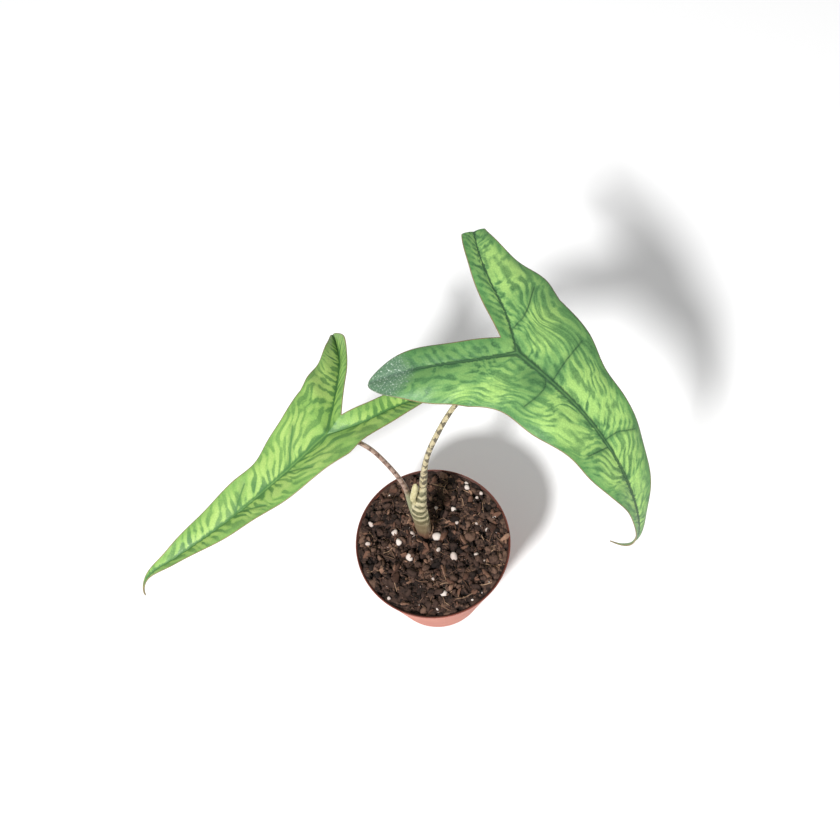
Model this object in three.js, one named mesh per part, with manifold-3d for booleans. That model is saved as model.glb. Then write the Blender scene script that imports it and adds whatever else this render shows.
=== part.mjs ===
// A young reticulata zebra alocasia in a plain round nursery pot.
// Millimetres, +Z up. The origin is the centre of the pot's base, on the surface it stands on.
// Two arrow-shaped leaves hang from barred stalks, which rise with the next leaf's sheath out of one
// stem base. The stem base stands in a plain hole in the potting mix.
import * as THREE from 'three';
import { mergeVertices } from 'three/addons/utils/BufferGeometryUtils.js';
import Module from 'manifold-3d';

const wasm = await Module();
wasm.setup();

// Pot
const POT_HEIGHT = 95;
const RIM_RADIUS = 52.5;
const BASE_RADIUS = 37;
const WALL = 0.9;
const RIM_BEAD = 0.35;
const BASE_PLATE = 2;
const FOOT_HEIGHT = 1.6;
const FOOT_WIDTH = 4;
const CENTRE_PAD_RADIUS = 9;
const DRAIN_HOLES = 6;
const DRAIN_RADIUS = 4;
const DRAIN_CIRCLE = 20;
const DRAIN_SIDES = 16;
const POT_SIDES = 52;

// Potting mix. The crumbs fade out towards the wall with a high power of the distance.
const CLEARANCE = 0.35;
const SOIL_TOP = 94;
const SOIL_CRUMBS = 130;
const CRUMB_HEIGHT = 1.5;
const CRUMB_SIZE = [2.5, 6];
const CRUMB_FADE_POWER = 8;
const SOIL_RINGS = 13;
const BARK_CHIPS = 22;
const BARK_SIZE = [1.4, 2.6];
const BARK_STRETCH = 1.8;
const BARK_REACH = 0.9;
const PERLITE_STRETCH = 1.1;
// Grains and chips are a little flat, tilt a little and stand up by a share of their size
const LUMP_FLATNESS = 0.8;
const LUMP_TILT = 0.5;
const LUMP_LIFT = 0.25;
// The large perlite grains: place across the soil and radius
const PERLITE = [
  [3, 2, 2.9], [13, -13, 2.7], [3, -36, 3.1], [-25, 9, 2.3], [-17, -10, 2.7], [-13, 6, 2.1],
  [-23, 2, 2.1], [-41, 17, 2.0], [-44, 3, 1.7], [28, 35, 2.1], [37.5, 30, 1.8], [28, 38.5, 1.6],
  [34, 27, 1.3], [25, 25, 1.5], [17, 22, 1.6], [5, 23, 1.7], [3, -7, 1.6], [38, 3, 1.5],
  [28, -13, 1.7], [-3, -25, 2.2], [18, 11, 1.6], [-33, -35.5, 1.5], [-2, -46, 1.5], [28, -38.5, 1.2],
];

// Stem base: rows of height, centre x, centre y, long and short half-width of the oval section. It is
// slim where it comes out of the mix and stoutest where the stalks' sheaths wrap round each other.
const STEM_BASE = [
  [78, -4.4, 7.4, 2.6, 2.4],
  [86, -4.5, 7.4, 3.2, 3.0],
  [94, -4.8, 7.4, 3.8, 3.5],
  [106, -5.5, 7.5, 5.0, 4.4],
  [120, -6.0, 7.8, 5.9, 4.6],
  [138, -6.8, 8.4, 5.9, 4.1],
];
const STEM_BASE_TURN = 150;
const STEM_BASE_STEPS = 16;
const STEM_BASE_SIDES = 18;

// Stalks: points of the centre line and the radius there, from the stem base upwards. The last
// stretch, which is added below, lies under the midrib of the blade, at its junction.
const STALK_RIGHT = [
  [-3.7, 6.9, 138.4, 2.6], [-2.8, 7.7, 154, 2.55], [-1.6, 8.6, 171, 2.4], [1.8, 10.8, 199, 1.65],
  [8.3, 14.4, 219, 1.55], [19.3, 21.3, 237.5, 1.4], [34, 29.6, 247.5, 1.35], [46, 35.8, 250, 1.3],
];
const STALK_LEFT = [
  [-11.1, 10.3, 138.4, 1.75], [-12.1, 10.7, 161, 1.65], [-14.8, 11.8, 176, 1.5],
  [-20.5, 14.4, 193, 1.4], [-28.4, 19, 206, 1.35], [-38.5, 23, 212.5, 1.3],
];
const SEAT_LENGTH = 5;
const STALK_STEPS = 34;
const STALK_SIDES = 10;

// Sheath of the next leaf: centre line and radius
const SHOOT = [
  [-9.6, 5.2, 138.4, 1.5], [-9.3, 5.2, 147, 1.75], [-8.6, 5.4, 156, 1.9],
  [-7.4, 5.8, 164, 1.9], [-6.4, 6.3, 170, 1.4], [-6.0, 6.5, 173.5, 0.5],
];
const SHOOT_STEPS = 12;
const SHOOT_SIDES = 8;

// Blades. The flat outline has x along the midrib from the rib junction to the tip and y to the left.
// Each side is one line of points: ten equal steps of the midrib from the tip to the junction, then
// four along the outer edge of the basal lobe to its tip, and four back along the inner edge to the
// notch between the lobes.
// droop: downward angle of the midrib at each eighth of its length, bow: its sideways curve there.
// back: the same angle behind the junction. bends: a lobe turned down past a line across it.
const BLADE_RIGHT = {
  junction: [55, 39, 255],
  heading: -50,
  length: 182,
  twist: 3,
  fold: 0.15,
  archRadius: 80,
  droop: [12, 18, 26, 39, 54.5, 66, 78, 102, 140],
  back: [12, 7, 3, 0, 0],
  bow: [0, 1.3, 2, 1.4, 0.5, 0.2, 0, -0.2, -0.5],
  left: [
    [182, 0], [164, 1.2], [146, 2.2], [128, 5.8], [110, 11.2], [92, 16.5], [73, 21.2], [55, 23.7],
    [38, 27.2], [19, 35.7], [-5, 41.5],
    [-22, 44.4], [-42, 43.2], [-64, 49], [-85, 57],
    [-75, 38.5], [-53, 21.5], [-32, 8.8], [-12, 0],
  ],
  right: [
    [182, 0], [164, -1.2], [146, -2.2], [128, -4], [110, -7], [92, -13], [73, -19], [55, -22],
    [36, -27.2], [16, -30], [1, -38.5],
    [-12, -49], [-26, -57], [-40, -63.3], [-51.5, -63],
    [-49.3, -48.5], [-41.5, -33], [-26.3, -16.8], [-12, 0],
  ],
  leftRib: [[0, 0], [-19, 12.5], [-40, 23], [-61, 36.5], [-85, 57]],
  rightRib: [[0, 0], [-13.5, -19], [-26.5, -34], [-39, -48], [-51.5, -63]],
  bends: [
    { towards: 147, from: 12, radius: 350, turn: 60 },
    { towards: -127, from: 12, radius: 160, turn: 60 },
    { towards: 147, from: 84, radius: 8, turn: 120 },
  ],
  keel: [2.2, 1.2],
};
const BLADE_LEFT = {
  junction: [-50.8, 26.3, 215],
  heading: 210,
  length: 142,
  twist: 12,
  fold: 0.45,
  archRadius: 80,
  droop: [8, 10, 11, 11, 11, 13, 17, 32, 79],
  back: [8, 2, -2, -5, -6],
  bow: [0, 1.8, 3.2, 4, 4.2, 3.2, 1.2, -2, 0],
  left: [
    [142, 0], [128, 1.4], [114, 4.2], [99, 6.8], [85, 9.5], [71, 12.6], [57, 15.6], [43, 18.1],
    [28, 20], [13, 22.8], [-3, 25.2],
    [-18, 21.8], [-36, 20.5], [-54, 18.5], [-70, 12],
    [-55, 3], [-40, 1], [-26, 0.2], [-12.8, -1.8],
  ],
  right: [
    [142, 0], [128, -1.4], [114, -4], [99, -7.9], [85, -11.1], [71, -13.5], [57, -14.8], [42, -15.6],
    [29, -20.8], [14, -24.4], [-3, -31.5],
    [-13.5, -38.8], [-24, -47.5], [-35.5, -59.5], [-47, -74],
    [-47.5, -58], [-37, -36.5], [-25, -18.8], [-12.8, -1.8],
  ],
  leftRib: [[0, 0], [-18, 7.2], [-36, 9.6], [-54, 12], [-70, 12]],
  rightRib: [[0, 0], [-12.5, -14], [-24.5, -28.8], [-36.5, -47], [-47, -74]],
  bends: [
    { towards: -122, from: 14, radius: 300, turn: 60 },
    { towards: 165, from: 14, radius: 300, turn: 60 },
  ],
  keel: [1.7, 0.9],
};
// How many outline points lie along the midrib and along a lobe, and how many steps the droop has
const MIDRIB_POINTS = 10;
const LOBE_POINTS = 4;
const DROOP_POINTS = 8;

const BLADE_THICKNESS = 0.7;
// The ribs stand down under the blade. The midrib loses most of its depth towards the tip.
const KEEL_SPREAD = 2.4;
const KEEL_LOSS = 0.85;
const KEEL_AT_LOBE_TIP = 0.2;
const MIDRIB_STEPS = 28;
// The lobes' rows lie closer together towards their tips, by this power
const LOBE_STEPS = 17;
const LOBE_ROW_POWER = 1.4;
const OUTER_RINGS = [0, 0.08, 0.26, 0.46, 0.66, 0.84, 1];
const INNER_RINGS = [0, 0.22, 0.6, 1];
// The blade swells between its side veins and its margin waves, both in full this far from a rib
const LATERAL_SPACING = 27;
const WAVE_LENGTH = 46;
const QUILT_HEIGHT = 1.3;
const MARGIN_WAVE = 1.2;
const FULL_RELIEF = 20;
const TRACK_STEP = 0.5;

// Finishes
const FINISHES = {
  pot: { color: 0xb8664e, roughness: 0.55 },
  soil: { color: 0x2e211b, roughness: 0.95 },
  sheath: { color: 0x9a9a6a, roughness: 0.6 },
  stalkRight: { color: 0xb9ae86, roughness: 0.55 },
  stalkLeft: { color: 0xa48c76, roughness: 0.55 },
  shoot: { color: 0xc3cc92, roughness: 0.5 },
  bladeRight: { color: 0x5fa84f, roughness: 0.42 },
  bladeLeft: { color: 0x8cc653, roughness: 0.45 },
};

const rad = (degrees) => THREE.MathUtils.degToRad(degrees);

// Numbers between 0 and 1 that are the same on every run
function seededRandom(seed) {
  let state = seed;
  return () => {
    state = (state * 1664525 + 1013904223) % 4294967296;
    return state / 4294967296;
  };
}

// A smooth curve through rows of numbers. The position t runs from 0 at the first row to
// rows.length - 1 at the last one.
function through(rows, t) {
  const last = rows.length - 1;
  const index = Math.min(Math.max(Math.floor(t), 0), last - 1);
  const f = t - index;
  const row = (k) => rows[Math.min(Math.max(k, 0), last)];
  const blend = (a, b, c, d) => {
    const slope0 = (c - a) / 2;
    const slope1 = (d - b) / 2;
    const cubic = 2 * b - 2 * c + slope0 + slope1;
    const square = -3 * b + 3 * c - 2 * slope0 - slope1;
    return ((cubic * f + square) * f + slope0) * f + b;
  };
  const [a, b, c, d] = [row(index - 1), row(index), row(index + 1), row(index + 2)];
  return Array.isArray(b) ? b.map((_, k) => blend(a[k], b[k], c[k], d[k])) : blend(a, b, c, d);
}

function geometryFrom(points, triangles) {
  const geometry = new THREE.BufferGeometry();
  const positions = points.flatMap((p) => [p.x, p.y, p.z]);
  geometry.setAttribute('position', new THREE.Float32BufferAttribute(positions, 3));
  geometry.setIndex(triangles.flat());
  geometry.computeVertexNormals();
  return geometry;
}

function solidFrom(geometry) {
  const bare = geometry.clone();
  bare.deleteAttribute('normal');
  bare.deleteAttribute('uv');
  const merged = mergeVertices(bare, 1e-4);
  const mesh = new wasm.Mesh({
    numProp: 3,
    vertProperties: Float32Array.from(merged.attributes.position.array),
    triVerts: Uint32Array.from(merged.index.array),
  });
  return new wasm.Manifold(mesh);
}

function geometryOf(solid) {
  const mesh = solid.getMesh();
  const geometry = new THREE.BufferGeometry();
  geometry.setAttribute('position', new THREE.BufferAttribute(Float32Array.from(mesh.vertProperties), 3));
  geometry.setIndex(new THREE.BufferAttribute(Uint32Array.from(mesh.triVerts), 1));
  geometry.computeVertexNormals();
  return geometry;
}

// A closed solid through rings of points, with a flat fan over each end ring
function loft(rings) {
  const sides = rings[0].length;
  const points = rings.flat();
  const triangles = [];
  for (let ring = 0; ring < rings.length - 1; ring += 1) {
    for (let side = 0; side < sides; side += 1) {
      const next = (side + 1) % sides;
      const [a, b] = [ring * sides + side, ring * sides + next];
      triangles.push([a, b, b + sides], [a, b + sides, a + sides]);
    }
  }
  const centreOf = (ring) => ring.reduce((sum, p) => sum.add(p), new THREE.Vector3()).divideScalar(sides);
  const lastStart = (rings.length - 1) * sides;
  points.push(centreOf(rings[0]), centreOf(rings[rings.length - 1]));
  for (let side = 0; side < sides; side += 1) {
    const next = (side + 1) % sides;
    triangles.push([points.length - 2, next, side]);
    triangles.push([points.length - 1, lastStart + side, lastStart + next]);
  }
  return geometryFrom(points, triangles);
}

// A round rod through rows of x, y, z and radius, on a smooth centre line. Its ring frames are
// carried along without twisting.
function rod(rows, steps, sides) {
  const rings = [];
  const rowAt = (t) => through(rows, THREE.MathUtils.clamp(t, 0, 1) * (rows.length - 1));
  const centreAt = (t) => new THREE.Vector3(...rowAt(t).slice(0, 3));
  let across = new THREE.Vector3(1, 0, 0);
  for (let step = 0; step <= steps; step += 1) {
    const t = step / steps;
    const radius = rowAt(t)[3];
    const along = centreAt(t + 0.01).sub(centreAt(t - 0.01)).normalize();
    across = across.clone().addScaledVector(along, -across.dot(along)).normalize();
    const up = along.clone().cross(across);
    const ring = [];
    for (let side = 0; side < sides; side += 1) {
      const angle = (2 * Math.PI * side) / sides;
      const point = centreAt(t).addScaledVector(across, Math.cos(angle) * radius);
      ring.push(point.addScaledVector(up, Math.sin(angle) * radius));
    }
    rings.push(ring);
  }
  return loft(rings);
}

// Pot: one turned wall with a rim bead, a foot ring and a centre pad, and holes that drain it
function wallRadius(z) {
  return BASE_RADIUS + ((RIM_RADIUS - BASE_RADIUS) * z) / POT_HEIGHT;
}

function potGeometry() {
  const plateTop = FOOT_HEIGHT + BASE_PLATE;
  const footInner = BASE_RADIUS - FOOT_WIDTH;
  const beadStart = POT_HEIGHT - 3 * RIM_BEAD;
  const profile = [
    [0, 0],
    [CENTRE_PAD_RADIUS, 0],
    [CENTRE_PAD_RADIUS + FOOT_HEIGHT, FOOT_HEIGHT],
    [footInner - FOOT_HEIGHT, FOOT_HEIGHT],
    [footInner, 0],
    [BASE_RADIUS, 0],
    [wallRadius(POT_HEIGHT / 2), POT_HEIGHT / 2],
    [wallRadius(beadStart) - RIM_BEAD, beadStart],
    [RIM_RADIUS, beadStart + RIM_BEAD],
    [RIM_RADIUS, POT_HEIGHT - RIM_BEAD / 2],
    [RIM_RADIUS - RIM_BEAD, POT_HEIGHT],
    [RIM_RADIUS - RIM_BEAD - WALL, POT_HEIGHT],
    [wallRadius(POT_HEIGHT / 2) - WALL, POT_HEIGHT / 2],
    [wallRadius(plateTop) - WALL, plateTop],
    [0, plateTop],
  ].map(([x, y]) => new THREE.Vector2(x, y));
  const turned = new THREE.LatheGeometry(profile, POT_SIDES);
  turned.rotateX(Math.PI / 2);
  let pot = solidFrom(turned);
  for (let hole = 0; hole < DRAIN_HOLES; hole += 1) {
    const angle = (2 * Math.PI * hole) / DRAIN_HOLES;
    const drill = new THREE.CylinderGeometry(DRAIN_RADIUS, DRAIN_RADIUS, 3 * plateTop, DRAIN_SIDES);
    drill.rotateX(Math.PI / 2);
    drill.translate(DRAIN_CIRCLE * Math.cos(angle), DRAIN_CIRCLE * Math.sin(angle), FOOT_HEIGHT);
    pot = pot.subtract(solidFrom(drill));
  }
  return geometryOf(pot);
}

// The oval rings of the stem base, grown all round by a clearance where they cut its hole
function stemBaseRings(grow) {
  const rings = [];
  for (let step = 0; step <= STEM_BASE_STEPS; step += 1) {
    const row = through(STEM_BASE, (step / STEM_BASE_STEPS) * (STEM_BASE.length - 1));
    const [z, x, y, long, short] = row;
    const ring = [];
    for (let side = 0; side < STEM_BASE_SIDES; side += 1) {
      const angle = (2 * Math.PI * side) / STEM_BASE_SIDES;
      const point = new THREE.Vector3((long + grow) * Math.cos(angle), (short + grow) * Math.sin(angle), 0);
      point.applyAxisAngle(new THREE.Vector3(0, 0, 1), rad(STEM_BASE_TURN));
      ring.push(point.add(new THREE.Vector3(x, y, z)));
    }
    rings.push(ring);
  }
  rings[0].forEach((point) => { point.z -= grow; });
  return rings;
}

// Potting mix: a plug that fills the pot, its top raised into crumbs by a seeded rule, with perlite
// grains and bark chips grown into it, and the plain hole that the stem base stands in
function soilGeometry() {
  const random = seededRandom(7);
  const bottom = FOOT_HEIGHT + BASE_PLATE + CLEARANCE;
  const edge = wallRadius(SOIL_TOP) - WALL - RIM_BEAD - CLEARANCE;
  const place = () => {
    const radius = edge * Math.sqrt(random());
    const angle = 2 * Math.PI * random();
    return [radius * Math.cos(angle), radius * Math.sin(angle)];
  };
  const crumbs = Array.from({ length: SOIL_CRUMBS }, () => {
    const [x, y] = place();
    const size = THREE.MathUtils.lerp(CRUMB_SIZE[0], CRUMB_SIZE[1], random());
    return { x, y, size, height: CRUMB_HEIGHT * (2 * random() - 0.9) };
  });
  const topAt = (x, y) => {
    const level = 1 - (Math.hypot(x, y) / edge) ** CRUMB_FADE_POWER;
    return crumbs.reduce((z, crumb) => {
      const away = ((x - crumb.x) ** 2 + (y - crumb.y) ** 2) / crumb.size ** 2;
      return z + level * crumb.height * Math.exp(-away);
    }, SOIL_TOP);
  };

  const points = [new THREE.Vector3(0, 0, topAt(0, 0))];
  const triangles = [];
  const at = (ring, side) => 1 + (ring - 1) * POT_SIDES + (side % POT_SIDES);
  for (let ring = 1; ring <= SOIL_RINGS + 1; ring += 1) {
    for (let side = 0; side < POT_SIDES; side += 1) {
      const angle = (2 * Math.PI * side) / POT_SIDES;
      const radius = ring <= SOIL_RINGS ? (edge * ring) / SOIL_RINGS : wallRadius(bottom) - WALL - CLEARANCE;
      const [x, y] = [radius * Math.cos(angle), radius * Math.sin(angle)];
      points.push(new THREE.Vector3(x, y, ring <= SOIL_RINGS ? topAt(x, y) : bottom));
      const [a, b] = [at(ring, side), at(ring, side + 1)];
      if (ring === 1) {
        triangles.push([0, a, b]);
      } else {
        triangles.push([a - POT_SIDES, a, b], [a - POT_SIDES, b, b - POT_SIDES]);
      }
    }
  }
  points.push(new THREE.Vector3(0, 0, bottom));
  for (let side = 0; side < POT_SIDES; side += 1) {
    triangles.push([points.length - 1, at(SOIL_RINGS + 1, side + 1), at(SOIL_RINGS + 1, side)]);
  }
  let soil = solidFrom(geometryFrom(points, triangles));

  const lump = (x, y, size, stretch) => {
    const shape = new THREE.IcosahedronGeometry(size, 0);
    shape.scale(stretch, 1, LUMP_FLATNESS);
    shape.rotateZ(Math.PI * random());
    shape.rotateX(LUMP_TILT * random());
    shape.translate(x, y, topAt(x, y) + LUMP_LIFT * size);
    return solidFrom(shape);
  };
  for (const [x, y, size] of PERLITE) {
    soil = soil.add(lump(x, y, size, PERLITE_STRETCH));
  }
  for (let chip = 0; chip < BARK_CHIPS; chip += 1) {
    const [x, y] = place().map((v) => BARK_REACH * v);
    const size = THREE.MathUtils.lerp(BARK_SIZE[0], BARK_SIZE[1], random());
    soil = soil.add(lump(x, y, size, BARK_STRETCH));
  }
  return geometryOf(soil.subtract(solidFrom(loft(stemBaseRings(CLEARANCE)))));
}

// A stalk tapers up to its blade and ends lying under the junction of the ribs
function stalkGeometry(stalk, blade) {
  const thin = stalk[stalk.length - 1][3];
  const place = bladePlacer(blade);
  const depth = BLADE_THICKNESS / 2 + blade.keel[0] + CLEARANCE + thin;
  const seat = [0, SEAT_LENGTH].map((x) => [...place(x, 0, -depth).toArray(), thin]);
  return rod([...stalk, ...seat], STALK_STEPS, STALK_SIDES);
}

// Where a point of the flat blade goes when the midrib droops, bows and twists and the lobes bend
function bladePlacer(spec) {
  const pointsPast = (x) => (DROOP_POINTS * Math.abs(x)) / spec.length;
  const backLength = (spec.length / DROOP_POINTS) * (spec.back.length - 1);
  const droopAt = (x) => (x < 0
    ? through(spec.back, Math.min(pointsPast(x), spec.back.length - 1))
    : through(spec.droop, Math.min(pointsPast(x), DROOP_POINTS)));
  const walk = (sign, reach) => {
    const track = [[0, 0]];
    for (let x = TRACK_STEP / 2; x < reach + 2 * TRACK_STEP; x += TRACK_STEP) {
      const angle = rad(droopAt(sign * x));
      const [u, w] = track[track.length - 1];
      const [du, dw] = [TRACK_STEP * Math.cos(angle), TRACK_STEP * Math.sin(angle)];
      track.push([u + sign * du, w - sign * dw]);
    }
    return track;
  };
  const ahead = walk(1, spec.length);
  const behind = walk(-1, backLength);
  const trackAt = (x) => {
    const track = x < 0 ? behind : ahead;
    const t = Math.abs(x) / TRACK_STEP;
    const index = Math.min(Math.floor(t), track.length - 2);
    return track[index].map((v, k) => THREE.MathUtils.lerp(v, track[index + 1][k], t - index));
  };
  const yaw = rad(spec.heading);
  const twist = rad(spec.twist);

  return (flatX, flatY, height) => {
    let [x, y, z] = [flatX, flatY, height];
    for (const bend of spec.bends) {
      const [ax, ay] = [Math.cos(rad(bend.towards)), Math.sin(rad(bend.towards))];
      const past = x * ax + y * ay - bend.from;
      if (past > 0) {
        const turn = Math.min(past / bend.radius, rad(bend.turn));
        const rest = past - turn * bend.radius;
        const reach = (bend.radius + z) * Math.sin(turn) + rest * Math.cos(turn);
        x += (reach - past) * ax;
        y += (reach - past) * ay;
        z = (bend.radius + z) * Math.cos(turn) - bend.radius - rest * Math.sin(turn);
      }
    }
    const across = y * Math.cos(twist) - z * Math.sin(twist);
    const lift = y * Math.sin(twist) + z * Math.cos(twist);
    const angle = rad(droopAt(x));
    const [u, w] = trackAt(x);
    const forward = u + lift * Math.sin(angle);
    const side = across + (x > 0 ? through(spec.bow, Math.min(pointsPast(x), DROOP_POINTS)) : 0);
    return new THREE.Vector3(
      spec.junction[0] + forward * Math.cos(yaw) - side * Math.sin(yaw),
      spec.junction[1] + forward * Math.sin(yaw) + side * Math.cos(yaw),
      spec.junction[2] + w + lift * Math.cos(angle),
    );
  };
}

// One side of a blade: lines run from the ribs to the edge. Each vertex has its flat place, its
// height above the flat and how far the rib under it stands down.
function bladeSide(spec, edge, rib) {
  const rows = MIDRIB_STEPS + LOBE_STEPS;
  const heightAt = (away, share, along) => {
    const arch = spec.fold * away - (away * away) / (2 * spec.archRadius);
    const bulge = Math.sin((Math.PI * along) / LATERAL_SPACING) ** 2;
    const quilt = QUILT_HEIGHT * bulge * Math.sin(Math.PI * share);
    const wave = MARGIN_WAVE * share ** 3 * Math.sin((2 * Math.PI * along) / WAVE_LENGTH);
    return arch + (quilt + wave) * Math.min(away / FULL_RELIEF, 1);
  };
  const vertex = (from, to, share, along, keel) => {
    const reach = Math.hypot(to[0] - from[0], to[1] - from[1]);
    const away = share * reach;
    return {
      x: from[0] + share * (to[0] - from[0]),
      y: from[1] + share * (to[1] - from[1]),
      height: heightAt(away, share, along),
      keel: keel * Math.exp(-((away / KEEL_SPREAD) ** 2)),
    };
  };
  const lobePoint = (row) => {
    const left = Math.max(1 - (row - MIDRIB_STEPS) / LOBE_STEPS, 0);
    return LOBE_POINTS * (1 - left ** LOBE_ROW_POWER);
  };
  const spine = (row) => {
    if (row <= MIDRIB_STEPS) {
      const x = spec.length * (1 - row / MIDRIB_STEPS);
      return { place: [x, 0], along: x, keel: spec.keel[0] * (1 - KEEL_LOSS * (x / spec.length)) };
    }
    const place = through(rib, lobePoint(row));
    const keel = THREE.MathUtils.lerp(spec.keel[1], KEEL_AT_LOBE_TIP, lobePoint(row) / LOBE_POINTS);
    return { place, along: Math.hypot(...place), keel };
  };
  const outerEdge = (row) => (row <= MIDRIB_STEPS
    ? through(edge, (MIDRIB_POINTS * row) / MIDRIB_STEPS)
    : through(edge, MIDRIB_POINTS + lobePoint(row)));
  const innerEdge = (row) => through(edge, edge.length - 1 - lobePoint(row));

  const grid = (first, edgeAt, shares) => {
    const lines = [];
    for (let row = first; row <= rows; row += 1) {
      const { place, along, keel } = spine(row);
      lines.push(shares.map((share) => vertex(place, edgeAt(row), share, along, keel)));
    }
    return lines;
  };
  return [grid(0, outerEdge, OUTER_RINGS), grid(MIDRIB_STEPS, innerEdge, INNER_RINGS)];
}

// A blade: its four grids share the vertices on the ribs. The same triangles make its upper and
// lower face, and a strip closes the edge between them.
function bladeGeometry(spec) {
  const grids = [...bladeSide(spec, spec.left, spec.leftRib), ...bladeSide(spec, spec.right, spec.rightRib)];
  const place = bladePlacer(spec);
  const vertices = [];
  const triangles = [];
  const known = new Map();
  const indexOf = (vertex) => {
    const key = `${vertex.x.toFixed(3)},${vertex.y.toFixed(3)}`;
    if (!known.has(key)) {
      known.set(key, vertices.length);
      vertices.push(vertex);
    }
    return known.get(key);
  };
  const addTriangle = (a, b, c) => {
    const [p, q, r] = [vertices[a], vertices[b], vertices[c]];
    const area = (q.x - p.x) * (r.y - p.y) - (r.x - p.x) * (q.y - p.y);
    if (new Set([a, b, c]).size === 3) {
      triangles.push(area > 0 ? [a, b, c] : [a, c, b]);
    }
  };
  for (const grid of grids) {
    const index = grid.map((line) => line.map(indexOf));
    for (let row = 0; row < index.length - 1; row += 1) {
      for (let ring = 0; ring < index[row].length - 1; ring += 1) {
        const [a, b] = [index[row][ring], index[row][ring + 1]];
        const [c, d] = [index[row + 1][ring], index[row + 1][ring + 1]];
        addTriangle(a, b, d);
        addTriangle(a, d, c);
      }
    }
  }

  const middle = vertices.map((vertex) => place(vertex.x, vertex.y, vertex.height));
  const normals = middle.map(() => new THREE.Vector3());
  for (const [a, b, c] of triangles) {
    const normal = middle[b].clone().sub(middle[a]).cross(middle[c].clone().sub(middle[a]));
    [a, b, c].forEach((corner) => normals[corner].add(normal));
  }
  normals.forEach((normal) => normal.normalize());

  const half = BLADE_THICKNESS / 2;
  const upper = middle.map((p, k) => p.clone().addScaledVector(normals[k], half));
  const lower = middle.map((p, k) => p.clone().addScaledVector(normals[k], -half - vertices[k].keel));
  const shift = vertices.length;
  const faces = triangles.flatMap(([a, b, c]) => [[a, b, c], [a + shift, c + shift, b + shift]]);
  const directed = new Set(triangles.flatMap(([a, b, c]) => [`${a},${b}`, `${b},${c}`, `${c},${a}`]));
  for (const edge of directed) {
    const [a, b] = edge.split(',').map(Number);
    if (!directed.has(`${b},${a}`)) {
      faces.push([b, a, a + shift], [b, a + shift, b + shift]);
    }
  }
  return geometryFrom([...upper, ...lower], faces);
}

const plant = new THREE.Group();

function addMesh(name, geometry, finish) {
  const material = new THREE.MeshStandardMaterial({ ...FINISHES[finish], metalness: 0, flatShading: true });
  const mesh = new THREE.Mesh(geometry, material);
  mesh.name = name;
  plant.add(mesh);
}

addMesh('pot', potGeometry(), 'pot');
addMesh('soil', soilGeometry(), 'soil');
addMesh('stem_base', loft(stemBaseRings(0)), 'sheath');
addMesh('stalk_right', stalkGeometry(STALK_RIGHT, BLADE_RIGHT), 'stalkRight');
addMesh('stalk_left', stalkGeometry(STALK_LEFT, BLADE_LEFT), 'stalkLeft');
addMesh('shoot_sheath', rod(SHOOT, SHOOT_STEPS, SHOOT_SIDES), 'shoot');
addMesh('blade_right', bladeGeometry(BLADE_RIGHT), 'bladeRight');
addMesh('blade_left', bladeGeometry(BLADE_LEFT), 'bladeLeft');

export default plant;
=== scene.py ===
# %% [markdown]
# # A potted reticulata zebra alocasia
# A young plant with two open arrow-shaped leaves, seen from high in front. Each leaf is one thin, waved
# sheet with three main ribs, netted in light and dark green. It hangs from a stalk with dark bars. The
# stalks and the sheath of the next leaf rise from one stem base in a nursery pot of dark potting mix.
#
# Every surface below is a grid of points worked out with numpy. The leaf grids are laid out flat in
# millimetres first and bent afterwards, so that the flat place of each point can also drive the
# pattern of its finish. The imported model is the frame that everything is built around.

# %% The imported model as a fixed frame
import math

import bmesh
import bpy
import numpy as np
from mathutils import Matrix, Vector


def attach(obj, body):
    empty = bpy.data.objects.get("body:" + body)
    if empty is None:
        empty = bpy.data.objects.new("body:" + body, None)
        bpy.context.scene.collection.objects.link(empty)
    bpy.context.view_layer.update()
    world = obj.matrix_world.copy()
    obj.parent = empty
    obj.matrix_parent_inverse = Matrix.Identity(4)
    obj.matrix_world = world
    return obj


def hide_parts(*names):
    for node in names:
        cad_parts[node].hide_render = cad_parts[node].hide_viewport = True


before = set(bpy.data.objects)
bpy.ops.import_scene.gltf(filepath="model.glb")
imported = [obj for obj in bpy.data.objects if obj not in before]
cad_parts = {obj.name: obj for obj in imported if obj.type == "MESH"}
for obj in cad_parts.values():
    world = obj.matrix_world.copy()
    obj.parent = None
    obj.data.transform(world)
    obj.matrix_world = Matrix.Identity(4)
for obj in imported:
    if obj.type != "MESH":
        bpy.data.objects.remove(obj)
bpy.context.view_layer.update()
MM = 0.001
print("nodes:", sorted(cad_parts))

# %% [markdown]
# ## The view
# The reference view looks down steeply, from the front, with the head a little tilted. Its direction
# and distance were found by fitting a pinhole camera to the pot's round rim and tapered wall. A Track
# To constraint could aim the camera, but it wouldn't tilt it. A camera in Blender looks along its own
# -Z, with +Y up, so here its matrix gets the view's right, up and backward directions as columns.

# %% Camera
LOOK_DOWN = math.radians(61.8)
HEAD_TILT = math.radians(-6.9)
FOCAL_SHARE = 750 / 840
SENSOR_WIDTH = 36.0
RIM_CENTRE = np.array([0.0, 0.0, 95.0])
# The rim's centre as the camera has it: to its right, above its axis and ahead of it
RIM_SEEN = (8.6, -81.4, 508.0)


def add_object(name, data):
    """Puts a camera, lamp or mesh into the scene as an object."""
    thing = bpy.data.objects.new(name, data)
    bpy.context.scene.collection.objects.link(thing)
    return thing


ahead = np.array([0.0, math.cos(LOOK_DOWN), -math.sin(LOOK_DOWN)])
level_right = np.array([1.0, 0.0, 0.0])
level_up = np.cross(level_right, ahead)
right = math.cos(HEAD_TILT) * level_right + math.sin(HEAD_TILT) * level_up
up = -math.sin(HEAD_TILT) * level_right + math.cos(HEAD_TILT) * level_up
eye = RIM_CENTRE - (RIM_SEEN[0] * right + RIM_SEEN[1] * up + RIM_SEEN[2] * ahead)

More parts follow.
